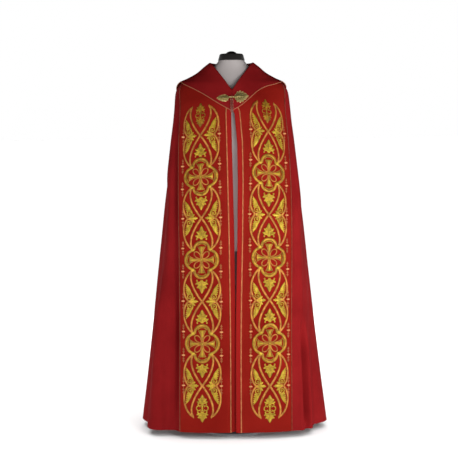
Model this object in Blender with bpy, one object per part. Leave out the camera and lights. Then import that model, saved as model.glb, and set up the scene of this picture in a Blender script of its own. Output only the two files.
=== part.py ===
"""A cope, the long processional cloak of a priest, worn on a limbless dress form that stands on a pole and a round foot.

Metres, +Z up, the front faces -Y, and left and right are those of someone who faces the front.
The hanging cloth is a smooth shape through level sections, and rings lie on it: a ring runs from the middle
of the front, round the side, to the middle of the back. The rings tilt at the shoulders and lie level below
the chest, and soft folds push them in and out on their way down to the hem.
"""

import functools
import math
from typing import NamedTuple

import bmesh
import bpy
import numpy as np
from mathutils import Vector

# ---------------------------------------------------------------------------------------- driving sizes
CLOTH = 0.0020  # the cloak's lined cloth
ORPHREY_CLOTH = 0.0025  # the stiffened bands down the two fronts
COLLAR_CLOTH = 0.0025
SEAM_GAP = 0.0003  # between pieces that meet
ORPHREY_WIDTH = 0.242  # from a front edge to the seam with the cloak's body
SHOULDER_SPREAD = 0.012
BORDER_WIDTH = 0.0215  # from a front edge to the inner line of braid
BRAID_WIDTH = 0.004
BRAID_HEIGHT = 0.0014
PIPING_RADIUS = 0.002
COLLAR_CLEARANCE = 0.003  # between the cloak and the collar that lies over it
COLLAR_LIFT = 0.004  # how much further the collar's edge stands off at the sides and back
ROLL_RADIUS = 0.007  # the collar folds over itself round the neck
ROLL_LEG = 0.002  # the part of the roll that goes down inside the neckline

ORPHREY_COLUMNS = 8
BODY_COLUMNS = 32
COLLAR_COLUMNS = 22  # on each side
COLLAR_ROWS = 8
ROLL_STEPS = 3

LEFT, RIGHT = -1, 1
SIDES = {"left": LEFT, "right": RIGHT}


class Level(NamedTuple):
    """A level section of the hanging cloak: its half width, its reach along -Y and +Y, the place along Y where
    it is widest, and the power of the front's rounded outline, 2 for an ellipse and more for a flatter front.
    Above the bottom of the neckline's V the front's reach is that of the surface carried on across the V."""

    height: float
    half_width: float
    front: float
    back: float
    middle: float
    square: float


LEVELS = (
    Level(0.030, 0.398, 0.216, 0.326, 0.052, 3.0),  # hem
    Level(0.250, 0.373, 0.210, 0.308, 0.046, 3.0),
    Level(0.470, 0.350, 0.204, 0.289, 0.040, 3.0),
    Level(0.670, 0.331, 0.197, 0.269, 0.034, 3.0),
    Level(0.850, 0.313, 0.191, 0.250, 0.028, 3.0),
    Level(1.010, 0.297, 0.185, 0.232, 0.023, 3.0),
    Level(1.160, 0.281, 0.178, 0.213, 0.018, 3.0),
    Level(1.278, 0.267, 0.169, 0.195, 0.013, 2.9),
    Level(1.368, 0.256, 0.158, 0.176, 0.009, 2.7),
    Level(1.435, 0.249, 0.142, 0.158, 0.005, 2.5),
    Level(1.488, 0.241, 0.113, 0.142, 0.002, 2.3),
    Level(1.522, 0.225, 0.094, 0.129, 0.000, 2.2),
    Level(1.542, 0.188, 0.082, 0.120, 0.000, 2.1),
    Level(1.566, 0.148, 0.067, 0.108, 0.000, 2.1),
    Level(1.594, 0.116, 0.053, 0.093, 0.000, 2.0),
    Level(1.611, 0.094, 0.044, 0.082, 0.000, 2.0),  # the neckline's sides
)
BACK_SQUARE = 2.1


class Ring(NamedTuple):
    """A line round the cloak, by its heights at the front, the side and the back."""

    front: float
    side: float
    back: float


RINGS = (
    Ring(1.490, 1.611, 1.608),  # neckline
    Ring(1.476, 1.594, 1.590),
    Ring(1.459, 1.566, 1.562),
    Ring(1.435, 1.542, 1.528),
    Ring(1.408, 1.522, 1.492),  # shoulder
    Ring(1.378, 1.488, 1.455),
    Ring(1.342, 1.435, 1.405),
    Ring(1.298, 1.368, 1.345),
    Ring(1.240, 1.278, 1.265),
    Ring(1.150, 1.160, 1.155),
    Ring(1.010, 1.010, 1.010),
    Ring(0.850, 0.850, 0.850),
    Ring(0.670, 0.670, 0.670),
    Ring(0.470, 0.470, 0.470),
    Ring(0.250, 0.250, 0.250),
    Ring(0.030, 0.030, 0.030),  # hem
)
SHOULDER = 4  # the ring that the collar's front edge follows
HEM = len(RINGS) - 1
HEM_HEIGHT = RINGS[HEM].side


class Fold(NamedTuple):
    """A soft fold that runs down to the hem. place and width are shares of the way from the orphrey's seam
    to the middle of the back, depth is its push at the hem, outwards if above 0, and top is its start."""

    place: float
    width: float
    depth: float
    top: float


BACK_FOLD = Fold(1.00, 0.080, -0.030, 1.20)  # both sides share it
FOLDS = {
    LEFT: (
        Fold(0.055, 0.055, -0.017, 1.50),
        Fold(0.165, 0.080, 0.018, 1.44),
        Fold(0.265, 0.060, -0.010, 0.95),
        Fold(0.375, 0.085, 0.016, 1.38),
        Fold(0.480, 0.070, -0.028, 1.30),
        Fold(0.585, 0.080, 0.026, 1.22),
        Fold(0.690, 0.070, -0.032, 1.28),
        Fold(0.795, 0.080, 0.028, 1.20),
        Fold(0.895, 0.075, 0.018, 1.05),
        BACK_FOLD,
    ),
    RIGHT: (
        Fold(0.070, 0.070, 0.007, 1.30),
        Fold(0.185, 0.080, -0.024, 0.66),
        Fold(0.305, 0.085, 0.018, 1.36),
        Fold(0.415, 0.075, -0.018, 1.24),
        Fold(0.525, 0.085, 0.022, 1.30),
        Fold(0.635, 0.075, -0.030, 1.20),
        Fold(0.745, 0.085, 0.028, 1.26),
        Fold(0.850, 0.070, -0.020, 1.00),
        Fold(0.925, 0.070, 0.018, 1.12),
        BACK_FOLD,
    ),
}
FOLD_GROWTH = 1.15  # the power with which a fold deepens on its way down


class Opening(NamedTuple):
    """Where the two front edges lie: how far the left one is to the left of the middle and the right one to
    the right of it. The cloak hangs a little off centre, so that the left front crosses the middle."""

    height: float
    left: float
    right: float


OPENING = (
    Opening(0.030, -0.0070, 0.0090),
    Opening(0.430, -0.0085, 0.0110),
    Opening(0.600, -0.0080, 0.0140),
    Opening(0.860, -0.0060, 0.0200),
    Opening(1.110, -0.0020, 0.0240),
    Opening(1.260, 0.0010, 0.0210),
    Opening(1.400, 0.0040, 0.0120),
    Opening(1.460, 0.0040, 0.0050),
    Opening(1.520, 0.0020, 0.0020),
)
EDGE_TURN = {LEFT: 0.007, RIGHT: 0.003}  # how far a front edge curls back below the chest
TURN_WIDTH = 0.030

# ---------------------------------------------------------------------------------------- colours
MATERIALS = {
    "cloak": ((0.30, 0.010, 0.016), 0.72, 0.0),
    "orphrey": ((0.31, 0.010, 0.016), 0.68, 0.0),
    "braid": ((0.62, 0.30, 0.09), 0.42, 0.6),
    "clasp": ((0.55, 0.43, 0.20), 0.38, 1.0),
    "form_cover": ((0.55, 0.52, 0.50), 0.85, 0.0),
    "neck_cap": ((0.012, 0.010, 0.010), 0.5, 0.0),
    "steel": ((0.30, 0.30, 0.31), 0.35, 1.0),
}


# ---------------------------------------------------------------------------------------- small helpers
def material(name):
    """The named Principled material, made once."""
    found = bpy.data.materials.get(name)
    if found:
        return found
    colour, roughness, metallic = MATERIALS[name]
    made = bpy.data.materials.new(name)
    made.use_nodes = True
    shader = made.node_tree.nodes["Principled BSDF"]
    shader.inputs["Base Color"].default_value = (*colour, 1.0)
    shader.inputs["Roughness"].default_value = roughness
    shader.inputs["Metallic"].default_value = metallic
    return made


def add_object(name, points, faces, finish):
    """A mesh object of these points and faces, its normals set outwards."""
    mesh = bpy.data.meshes.new(name)
    mesh.from_pydata([tuple(p) for p in points], [], faces)
    work = bmesh.new()
    work.from_mesh(mesh)
    bmesh.ops.recalc_face_normals(work, faces=work.faces[:])
    work.to_mesh(mesh)
    work.free()
    mesh.shade_smooth()
    mesh.set_sharp_from_angle(angle=math.radians(50))
    mesh.materials.append(material(finish))
    made = bpy.data.objects.new(name, mesh)
    bpy.context.scene.collection.objects.link(made)
    return made


def smooth_step(x):
    x = min(1.0, max(0.0, x))
    return x * x * (3 - 2 * x)


def bump(x):
    """1 at 0, and softly down to 0 at -1 and 1."""
    return math.cos(0.5 * math.pi * x) ** 2 if abs(x) < 1 else 0.0


# ---------------------------------------------------------------------------------------- the draped surface
def smooth_curve(places, values):
    """A function of place, smooth through the values and without a wave between them."""
    places, values = np.array(places), np.array(values)
    chords = np.diff(values) / np.diff(places)
    slopes = np.zeros(len(places))
    same = chords[:-1] * chords[1:] > 0
    slopes[1:-1][same] = 2 / (1 / chords[:-1][same] + 1 / chords[1:][same])
    slopes[0], slopes[-1] = chords[0], chords[-1]

    def value(place):
        place = np.clip(place, places[0], places[-1])
        i = np.clip(np.searchsorted(places, place) - 1, 0, len(places) - 2)
        span = places[i + 1] - places[i]
        u = (place - places[i]) / span
        start = values[i] * (1 + 2 * u) * (1 - u) ** 2 + slopes[i] * span * u * (1 - u) ** 2
        return start + values[i + 1] * u**2 * (3 - 2 * u) + slopes[i + 1] * span * u**2 * (u - 1)

    return value


LEVEL_AT = Level(*(smooth_curve([row.height for row in LEVELS], column) for column in zip(*LEVELS)))
RING_AT = Ring(*(smooth_curve(range(len(RINGS)), column) for column in zip(*RINGS)))


def front_depth(x, z):
    """How far the hanging cloak reaches along -Y, x from its middle at height z, the folds left out."""
    middle, square = LEVEL_AT.middle(z), LEVEL_AT.square(z)
    share = np.clip(x / LEVEL_AT.half_width(z), 0, 1)
    return (LEVEL_AT.front(z) + middle) * (1 - share**square) ** (1 / square) - middle


@functools.lru_cache(maxsize=None)
def half_outline(t, samples=240):
    """The half ring t rings below the neckline, from the middle of the front to that of the back: arc lengths
    as seen from above, then x, y, z and the level outward normal, for the side where x is above 0."""
    angle = np.linspace(0.0, math.pi, samples)
    front = angle <= math.pi / 2
    share = np.where(front, np.sin(angle) ** (2 / 2.8), np.sin(angle) ** (2 / BACK_SQUARE))
    share[0] = share[-1] = 0.0
    ends = np.where(front, RING_AT.front(t), RING_AT.back(t))
    z = ends + (RING_AT.side(t) - ends) * np.where(front, share, share**2)
    x = float(LEVEL_AT.half_width(RING_AT.side(t))) * share
    middle = LEVEL_AT.middle(z)
    behind = (1 - np.clip(x / LEVEL_AT.half_width(z), 0, 1) ** BACK_SQUARE) ** (1 / BACK_SQUARE)
    y = np.where(front, -front_depth(x, z), middle + (LEVEL_AT.back(z) - middle) * behind)
    arc = np.concatenate([[0.0], np.cumsum(np.hypot(np.diff(x), np.diff(y)))])
    along_x, along_y = np.gradient(x, arc), np.gradient(y, arc)
    length = np.hypot(along_x, along_y)
    return arc, x, y, z, along_y / length, -along_x / length


def opening_at(side, height):
    heights = [row.height for row in OPENING]
    places = [row.left if side == LEFT else row.right for row in OPENING]
    return float(np.interp(height, heights, places))


def front_edge(side, t):
    """Where a front edge crosses this ring, as an arc from the middle of the front."""
    return opening_at(side, float(RING_AT.front(t)))


def side_arc(t):
    """The arc from the middle of the front to the ring's widest point."""
    arc, x = half_outline(t)[:2]
    return float(arc[int(np.argmax(x))])


def orphrey_width(t):
    """The orphrey's width as seen from above: over the shoulder the cloth slopes less and spreads more."""
    return ORPHREY_WIDTH + SHOULDER_SPREAD * smooth_step((float(RING_AT.side(t)) - 1.42) / 0.09)


def seam_arc(side, t):
    """Where the orphrey meets the cloak's body. Over the shoulder the seam runs along its ridge."""
    return min(front_edge(side, t) + orphrey_width(t), side_arc(t))


def total_arc(t):
    return float(half_outline(t)[0][-1])


def fold_push(side, arc, t, height):
    """How far the folds push the cloth out here."""
    seam = seam_arc(side, t)
    share = (arc - seam) / (total_arc(t) - seam)
    push = 0.0
    if share > 0:
        for fold in FOLDS[side]:
            drop = max(0.0, (fold.top - height) / (fold.top - HEM_HEIGHT))
            push += fold.depth * bump((share - fold.place) / fold.width) * drop**FOLD_GROWTH
    from_edge = arc - front_edge(side, t)
    turn = EDGE_TURN[side] * smooth_step((1.40 - height) / 0.5)
    return push - turn * max(0.0, 1 - from_edge / TURN_WIDTH) ** 2


def cloth_point(side, arc, t):
    """A point of the cloak's outer face. An arc below 0 lies across the middle of the front."""
    arcs, *columns = half_outline(round(t, 4))
    x, y, z, normal_x, normal_y = (float(np.interp(arc, arcs, column)) for column in columns)
    if arc < 0:
        x, z = arc, z + arc * (columns[2][20] - z) / arcs[20]
    push = fold_push(side, arc, round(t, 4), z)
    return Vector((side * (x + push * normal_x), y + push * normal_y, z))


def cloth_normal(side, arc, t):
    """The outward normal of the cloak's outer face, from its slopes."""
    step_arc, step_t = 0.004, 0.04
    low, high = arc - step_arc, min(arc + step_arc, total_arc(t))
    across = cloth_point(side, high, t) - cloth_point(side, low, t)
    above, below = max(t - step_t, 0.0), min(t + step_t, float(HEM))
    down = cloth_point(side, arc, below) - cloth_point(side, arc, above)
    return (down.cross(across) * side).normalized()


def sheet_point(side, arc, t):
    return cloth_point(side, arc, t), cloth_normal(side, arc, t)


def wall(name, sheet, out, thickness, finish):
    """A closed wall on a grid of (point, normal) rows: its outer face lies out from the points along their
    normals, and its inner face a thickness further in."""
    rows, columns = len(sheet), len(sheet[0])
    outer = [p + n * out for row in sheet for p, n in row]
    inner = [p + n * (out - thickness) for row in sheet for p, n in row]
    back = rows * columns
    faces = []
    for r in range(rows - 1):
        for c in range(columns - 1):
            a, b = r * columns + c, (r + 1) * columns + c
            faces.append((a, a + 1, b + 1, b))
            faces.append((a + back, b + back, b + 1 + back, a + 1 + back))
    rim = [r * columns for r in range(rows)]
    rim += [(rows - 1) * columns + c for c in range(1, columns)]
    rim += [r * columns + columns - 1 for r in range(rows - 2, -1, -1)]
    rim += list(range(columns - 2, 0, -1))
    for a, b in zip(rim, rim[1:] + rim[:1]):
        faces.append((a, b, b + back, a + back))
    return add_object(name, outer + inner, faces, finish)


# ---------------------------------------------------------------------------------------- the cloak
def build_orphrey(label, side):
    """The straight band down one front, from under the collar to the hem, with its border to the front edge."""
    sheet = []
    for t in range(HEM + 1):
        edge, seam = front_edge(side, t), seam_arc(side, t)
        shares = [c / ORPHREY_COLUMNS for c in range(ORPHREY_COLUMNS + 1)]
        sheet.append([sheet_point(side, edge + (seam - edge) * s, t) for s in shares])
    return wall(f"orphrey_{label}", sheet, 0.0, ORPHREY_CLOTH, "orphrey")


def build_body(label, side):
    """Half of the cloak's body, from the orphrey's seam round the side to the seam down the middle of the back."""
    sheet = []
    for t in range(HEM + 1):
        start, end = seam_arc(side, t) + SEAM_GAP, total_arc(t) - SEAM_GAP / 2
        shares = [c / BODY_COLUMNS for c in range(BODY_COLUMNS + 1)]
        sheet.append([sheet_point(side, start + (end - start) * s, t) for s in shares])
    return wall(f"body_{label}", sheet, 0.0, CLOTH, "cloak")


def braid_strip(name, side, from_edge):
    """A line of braid that lies on the cloak at one distance from the front edge, from the collar to the hem.
    The outer one keeps to the orphrey's seam."""
    sheet = []
    for t in range(SHOULDER, HEM + 1):
        arc = seam_arc(side, t) if from_edge == ORPHREY_WIDTH else front_edge(side, t) + from_edge
        top = SHOULDER + 0.12 if t == SHOULDER else float(t)
        sheet.append([sheet_point(side, arc + BRAID_WIDTH * half, top) for half in (-0.5, 0.0, 0.5)])
    out = SEAM_GAP * 2 + BRAID_HEIGHT
    return wall(name, sheet, out, BRAID_HEIGHT, "braid")


# ---------------------------------------------------------------------------------------- the collar
COLLAR_BACK_DROP = 4.3  # how many rings further the collar reaches at the middle of the back
COLLAR_BACK_POWER = 0.75
COLLAR_RISE = {LEFT: 0.15, RIGHT: 0.65}  # by how many rings its edge curves up between front and shoulder
COLLAR_SHOULDER_RISE = 0.30  # by how many rings it is shorter over the shoulder than at the front
SIDE_BULGE = {LEFT: 0.014, RIGHT: 0.005}  # where the collar's edge stands off behind the shoulder


def collar_edge(side, share):
    """How many rings the collar reaches down, from 0 at its front edge to 1 at the middle of the back."""
    behind = max(0.0, share - 0.5) / 0.5
    rise = COLLAR_RISE[side] * bump((share - 0.24) / 0.22)
    rise += COLLAR_SHOULDER_RISE * smooth_step(share / 0.45)
    return SHOULDER - rise + COLLAR_BACK_DROP * behind**COLLAR_BACK_POWER


def collar_out(side, share, down):
    """How far the collar's outer face lies off the cloak, down being 0 at the neck and 1 at the edge."""
    lift = COLLAR_LIFT * smooth_step((share - 0.3) / 0.25)
    bulge = SIDE_BULGE[side] * bump((share - 0.64) / 0.12)
    return COLLAR_CLEARANCE + COLLAR_CLOTH + (lift + bulge) * down**2


def collar_arc(side, share, t):
    """The arc of one of the collar's columns on a ring: its front edge keeps to the cloak's."""
    edge = front_edge(side, t)
    return edge + (total_arc(t) - edge) * share


def collar_column(side, share):
    """One column of the collar, from inside the neckline, over the roll, and down to the outer edge."""
    top, normal = sheet_point(side, collar_arc(side, share, 0.0), 0.0)
    down = (cloth_point(side, collar_arc(side, share, 0.3), 0.3) - top).normalized()
    start = top + normal * collar_out(side, share, 0.0)
    column = [(start - normal * 2 * ROLL_RADIUS + down * ROLL_LEG, -normal)]
    for step in range(ROLL_STEPS, -1, -1):
        angle = math.pi * step / ROLL_STEPS
        point = start - down * ROLL_RADIUS * math.sin(angle) - normal * ROLL_RADIUS * (1 - math.cos(angle))
        column.append((point, normal * math.cos(angle) - down * math.sin(angle)))
    for row in range(1, COLLAR_ROWS + 1):
        share_down = row / COLLAR_ROWS
        t = collar_edge(side, share) * share_down
        point, normal = sheet_point(side, collar_arc(side, share, t), t)
        column.append((point + normal * collar_out(side, share, share_down), normal))
    return column


def collar_columns():
    """The collar's columns from its left front edge, round the back, to its right front edge."""
    shares = [c / COLLAR_COLUMNS for c in range(COLLAR_COLUMNS + 1)]
    left = [collar_column(LEFT, share) for share in shares]
    right = [collar_column(RIGHT, share) for share in shares[:-1]]
    return left + right[::-1]


def build_collar(columns):
    sheet = [list(row) for row in zip(*columns)]
    return wall("collar", sheet, 0.0, COLLAR_CLOTH, "cloak")


def tube(name, path, radius, sides, closed, finish, up=Vector((0, 0, 1))):
    """A round tube along a path, its ends capped unless it is closed."""
    count = len(path)
    points, faces = [], []
    for i, centre in enumerate(path):
        before = path[(i - 1) % count] if closed else path[max(i - 1, 0)]
        after = path[(i + 1) % count] if closed else path[min(i + 1, count - 1)]
        along = (after - before).normalized()
        across = along.cross(up).normalized()
        over = across.cross(along)
        for k in range(sides):
            angle = math.tau * k / sides
            points.append(centre + (across * math.cos(angle) + over * math.sin(angle)) * radius)
    for i in range(count if closed else count - 1):
        low, high = i * sides, ((i + 1) % count) * sides
        for k in range(sides):
            nxt = (k + 1) % sides
            faces.append((low + k, low + nxt, high + nxt, high + k))
    if not closed:
        faces.append(tuple(range(sides)))
        faces.append(tuple(range((count - 1) * sides, count * sides)))
    return add_object(name, points, faces, finish)


def build_piping(columns):
    """The round piping along the collar's outer edge, just clear of it."""
    edge = [column[-1] for column in columns]
    path = []
    for i, (point, normal) in enumerate(edge):
        turns = []
        for a, b in ((max(i - 1, 0), i), (i, min(i + 1, len(edge) - 1))):
            if a != b:
                outward = normal.cross(edge[b][0] - edge[a][0]).normalized()
                turns.append(-outward if outward.dot(columns[i][-2][0] - point) > 0 else outward)
        outward = sum(turns, Vector()) / len(turns)
        reach = (PIPING_RADIUS + SEAM_GAP * 2) / outward.length_squared
        path.append(point - normal * COLLAR_CLOTH / 2 + outward * reach)
    return tube("collar_piping", path, PIPING_RADIUS, 6, False, "braid", up=Vector((0, 1, 0)))


# ---------------------------------------------------------------------------------------- the clasp
CLASP_HEIGHT = 1.463
LEAF_PLATE = 0.0018
LEAF_GAP = 0.0006  # under the leaf, over the collar
STEM_RISE = 0.0042  # how much further the leaf stands off at its stem
LEAF_ROWS = 14
EYE_INSET = 0.0062  # from the middle of the front to an eye's centre


class Leaf(NamedTuple):
    """A leaf-shaped plate with its stem at the front opening and its tip pointing sideways."""

    length: float
    width: float
    lobes: int
    lobe_depth: float
    tilt: float


LEAVES = {
    LEFT: Leaf(length=0.060, width=0.033, lobes=0, lobe_depth=0.0, tilt=0.00),
    RIGHT: Leaf(length=0.060, width=0.046, lobes=4, lobe_depth=0.10, tilt=0.16),
}
STEM_LENGTH = 0.006
STEM_HALF = 0.0022


def collar_depth(x, z):
    """The Y of the collar's outer face at the front, x from the middle at height z."""
    x, step = abs(x), 0.004
    fall = float(front_depth(x, z - step) - front_depth(x, z + step)) / (2 * step)
    turn = float(front_depth(x + step, z) - front_depth(x, z)) / step
    return -float(front_depth(x, z)) - (COLLAR_CLEARANCE + COLLAR_CLOTH) * math.sqrt(1 + fall**2 + turn**2)


def leaf_half_width(leaf, share):
    """Half the leaf's width at a share of its length from the stem."""
    outline = math.sin(math.pi * share**0.72) ** 0.85
    lobes = 1 + leaf.lobe_depth * math.cos(math.tau * leaf.lobes * share) if leaf.lobes else 1.0
    return leaf.width / 2 * outline * lobes


def build_leaf(label, side):
    """One half of the clasp: a thin domed leaf on the collar, with a stem to the middle of the front."""
    leaf = LEAVES[side]
    stations = [(-STEM_LENGTH, STEM_HALF)]
    for row in range(1, LEAF_ROWS):
        share = row / LEAF_ROWS
        stations.append((leaf.length * share, max(STEM_HALF, leaf_half_width(leaf, share))))
    stations.append((leaf.length, STEM_HALF * 0.3))
    sheet = []
    for along, half in stations:
        row = []
        for across in (-1.0, -0.5, 0.0, 0.5, 1.0):
            x = EYE_INSET + STEM_LENGTH + along
            z = CLASP_HEIGHT + across * half + (x - EYE_INSET) * math.tan(leaf.tilt) * 0.3
            rise = STEM_RISE * (1 - smooth_step(along / (leaf.length * 0.5)))
            dome = 0.0022 * (1 - across**2) * smooth_step((half - STEM_HALF) / 0.006)
            depth = collar_depth(x, z) - LEAF_GAP - rise - dome
            row.append((Vector((side * x, depth, z)), Vector((0, -1, 0))))
        sheet.append(row)
    return wall(f"clasp_leaf_{label}", sheet, LEAF_PLATE, LEAF_PLATE, "clasp")


# The small rings that join the leaves, and the chain that hangs from them
WIRE = 0.0009
LINK_HALF = 0.0070  # half a link's length, to the wire's centre
LINK_WIDTH = 0.0026  # half its width
LINK_GAP = 0.0004
LINKS = 5  # on each strand
STRANDS = {"left": -0.0035, "right": 0.0045}
DROP_RING_RADIUS = 0.0065
DROP_RING_HANG = 0.0040  # from its top inside the last links to its centre
BAR_HALF = 0.0105
CHAIN_LENGTH = 0.070
LINK_CORNERS = 6  # at each rounded end


def oval(centre, long_axis, wide_axis, half_length, half_width):
    """Points round a closed oval with straight sides and half-round ends."""
    path = []
    for end in (1, -1):
        for k in range(LINK_CORNERS):
            angle = math.pi * (k / (LINK_CORNERS - 1) - 0.5) * 0.96
            along = end * (half_length - half_width + half_width * math.cos(angle))
            path.append(centre + long_axis * along + wide_axis * half_width * math.sin(angle) * end)
    return path


def add_link(name, centre, long_axis, wide_axis, half_length, half_width):
    path = oval(centre, long_axis, wide_axis, half_length, half_width)
    return tube(name, path, WIRE, 5, True, "clasp", up=long_axis.cross(wide_axis))


def build_chain():
    """The bar link between the two leaves, the two strands that hang from it down the slope of the chest, and
    the ring that joins them."""
    x_axis = Vector((1, 0, 0))
    bar_depth = collar_depth(0.0, CLASP_HEIGHT) - LEAF_GAP - STEM_RISE - LEAF_PLATE - 2 * WIRE - 2 * LINK_GAP
    bar_centre = Vector((0, bar_depth, CLASP_HEIGHT))
    slope = 0.0
    for step in range(2, 15):
        drop = CHAIN_LENGTH * step / 14
        chest = collar_depth(0.0, CLASP_HEIGHT - drop) - LINK_WIDTH - 2 * WIRE - LINK_GAP
        slope = min(slope, (chest - bar_depth) / drop)
    down = Vector((0, slope, -1)).normalized()
    add_link("clasp_bar", bar_centre, x_axis, down, BAR_HALF, LINK_WIDTH)
    off_chest = down.cross(x_axis)
    pitch = 2 * LINK_HALF - 2 * WIRE - LINK_GAP
    for label, x in STRANDS.items():
        top = bar_centre + x_axis * x
        for n in range(LINKS):
            wide = off_chest if n % 2 == 0 else x_axis
            add_link(f"chain_{label}_{n + 1}", top + down * (LINK_HALF + n * pitch), down, wide, LINK_HALF, LINK_WIDTH)
    ring_top = bar_centre + down * (2 * LINK_HALF + (LINKS - 1) * pitch - 2 * WIRE - LINK_GAP)
    centre = ring_top + down * DROP_RING_HANG + x_axis * sum(STRANDS.values()) / 2
    turns = [math.tau * k / 14 for k in range(14)]
    ring = [centre + (x_axis * math.cos(a) + down * math.sin(a)) * DROP_RING_RADIUS for a in turns]
    tube("chain_ring", ring, WIRE, 5, True, "clasp", up=off_chest)


# ---------------------------------------------------------------------------------------- the dress form
class Section(NamedTuple):
    """A level section of the form: its half width, and its reach in front and behind."""

    height: float
    half_width: float
    front: float
    back: float


FORM = (
    Section(0.800, 0.160, 0.100, 0.108),
    Section(0.815, 0.172, 0.108, 0.118),
    Section(0.880, 0.177, 0.113, 0.122),
    Section(0.960, 0.170, 0.112, 0.114),
    Section(1.040, 0.157, 0.108, 0.100),
    Section(1.120, 0.150, 0.107, 0.092),
    Section(1.200, 0.160, 0.114, 0.098),
    Section(1.290, 0.178, 0.124, 0.110),
    Section(1.370, 0.195, 0.123, 0.116),
    Section(1.440, 0.210, 0.104, 0.116),
    Section(1.485, 0.217, 0.086, 0.108),
    Section(1.512, 0.210, 0.074, 0.102),
    Section(1.530, 0.190, 0.066, 0.096),
    Section(1.552, 0.155, 0.060, 0.086),
    Section(1.572, 0.115, 0.056, 0.074),
    Section(1.590, 0.088, 0.054, 0.065),
    Section(1.604, 0.073, 0.053, 0.060),
    Section(1.616, 0.062, 0.053, 0.057),
    Section(1.625, 0.056, 0.053, 0.055),
)
FORM_COLUMNS = 28
CAP_HEIGHT = 0.027
CAP_PROFILE = ((0.0585, 0.0), (0.0520, 0.024), (0.0490, 0.028), (0.0230, 0.031), (0.0190, 0.036), (0.0080, 0.040))
POLE_RADIUS = 0.0175
BASE_RADIUS = 0.165
BASE_THICKNESS = 0.012
BOSS_RADIUS = 0.030
BOSS_HEIGHT = 0.060


def lathe(name, profile, segments, finish):
    """A turned solid round the form's axis, from its lowest (radius, height) to its highest."""
    points, faces = [], []
    for radius, height in profile:
        for k in range(segments):
            angle = math.tau * k / segments
            points.append(Vector((radius * math.cos(angle), radius * math.sin(angle), height)))
    for r in range(len(profile) - 1):
        for k in range(segments):
            nxt = (k + 1) % segments
            low, high = r * segments, (r + 1) * segments
            faces.append((low + k, low + nxt, high + nxt, high + k))
    faces.append(tuple(range(segments)))
    faces.append(tuple(range((len(profile) - 1) * segments, len(profile) * segments)))
    return add_object(name, points, faces, finish)


def build_form():
    """The torso: a smooth closed body through level sections, with flat ends below and at the neck."""
    points, faces = [], []
    for section in FORM:
        for k in range(FORM_COLUMNS):
            angle = math.tau * k / FORM_COLUMNS
            reach = section.front if math.sin(angle) < 0 else section.back
            points.append(
                Vector((section.half_width * math.cos(angle), reach * math.sin(angle), section.height))
            )
    for r in range(len(FORM) - 1):
        for k in range(FORM_COLUMNS):
            nxt = (k + 1) % FORM_COLUMNS
            low, high = r * FORM_COLUMNS, (r + 1) * FORM_COLUMNS
            faces.append((low + k, low + nxt, high + nxt, high + k))
    faces.append(tuple(range(FORM_COLUMNS)))
    faces.append(tuple(range((len(FORM) - 1) * FORM_COLUMNS, len(FORM) * FORM_COLUMNS)))
    return add_object("form_torso", points, faces, "form_cover")


def build_stand():
    neck = FORM[-1].height + SEAM_GAP
    lathe("form_neck_cap", [(radius, neck + rise) for radius, rise in CAP_PROFILE], 28, "neck_cap")
    foot = (
        (BASE_RADIUS, 0.0),
        (BASE_RADIUS, BASE_THICKNESS * 0.7),
        (BASE_RADIUS - 0.006, BASE_THICKNESS),
        (BOSS_RADIUS, BASE_THICKNESS),
        (BOSS_RADIUS * 0.9, BOSS_HEIGHT),
    )
    lathe("stand_base", foot, 40, "steel")
    pole_low, pole_high = BOSS_HEIGHT + SEAM_GAP, FORM[0].height - SEAM_GAP
    lathe("stand_pole", [(POLE_RADIUS, pole_low), (POLE_RADIUS, pole_high)], 20, "steel")


# ---------------------------------------------------------------------------------------- everything
def clear_scene():
    for old in list(bpy.data.objects):
        bpy.data.objects.remove(old)


def centre_on_footprint():
    """Hangs every piece on one empty and moves it, so that the origin is the middle of the whole, on the floor."""
    bpy.context.view_layer.update()
    pieces = [piece for piece in bpy.data.objects if piece.type == "MESH"]
    corners = np.array([tuple(v.co) for piece in pieces for v in piece.data.vertices])
    middle = (corners.min(axis=0) + corners.max(axis=0)) / 2
    whole = bpy.data.objects.new("cope_on_form", None)
    bpy.context.scene.collection.objects.link(whole)
    for piece in pieces:
        piece.parent = whole
    whole.location = (-middle[0], -middle[1], 0.0)


def main():
    clear_scene()
    for label, side in SIDES.items():
        build_orphrey(label, side)
        build_body(label, side)
        braid_strip(f"braid_inner_{label}", side, BORDER_WIDTH)
        braid_strip(f"braid_outer_{label}", side, ORPHREY_WIDTH)
        build_leaf(label, side)
    columns = collar_columns()
    build_collar(columns)
    build_piping(columns)
    build_chain()
    build_form()
    build_stand()
    centre_on_footprint()


main()
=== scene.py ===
"""A red cope with gold-embroidered orphreys, a folded collar and a leaf clasp, worn on a limbless dress form.

The cloth follows the same level sections, rings and folds as its solids, on a finer grid and with small
creases. The embroidery is drawn flat, u across the orphrey, v up it and h off it, and is then laid on it.
Metres, +Z up, the front faces -Y. Left and right are those of someone who faces the front.
"""

import math
from typing import NamedTuple

import bmesh
import bpy
import numpy as np
from mathutils import Matrix, Vector


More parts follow.
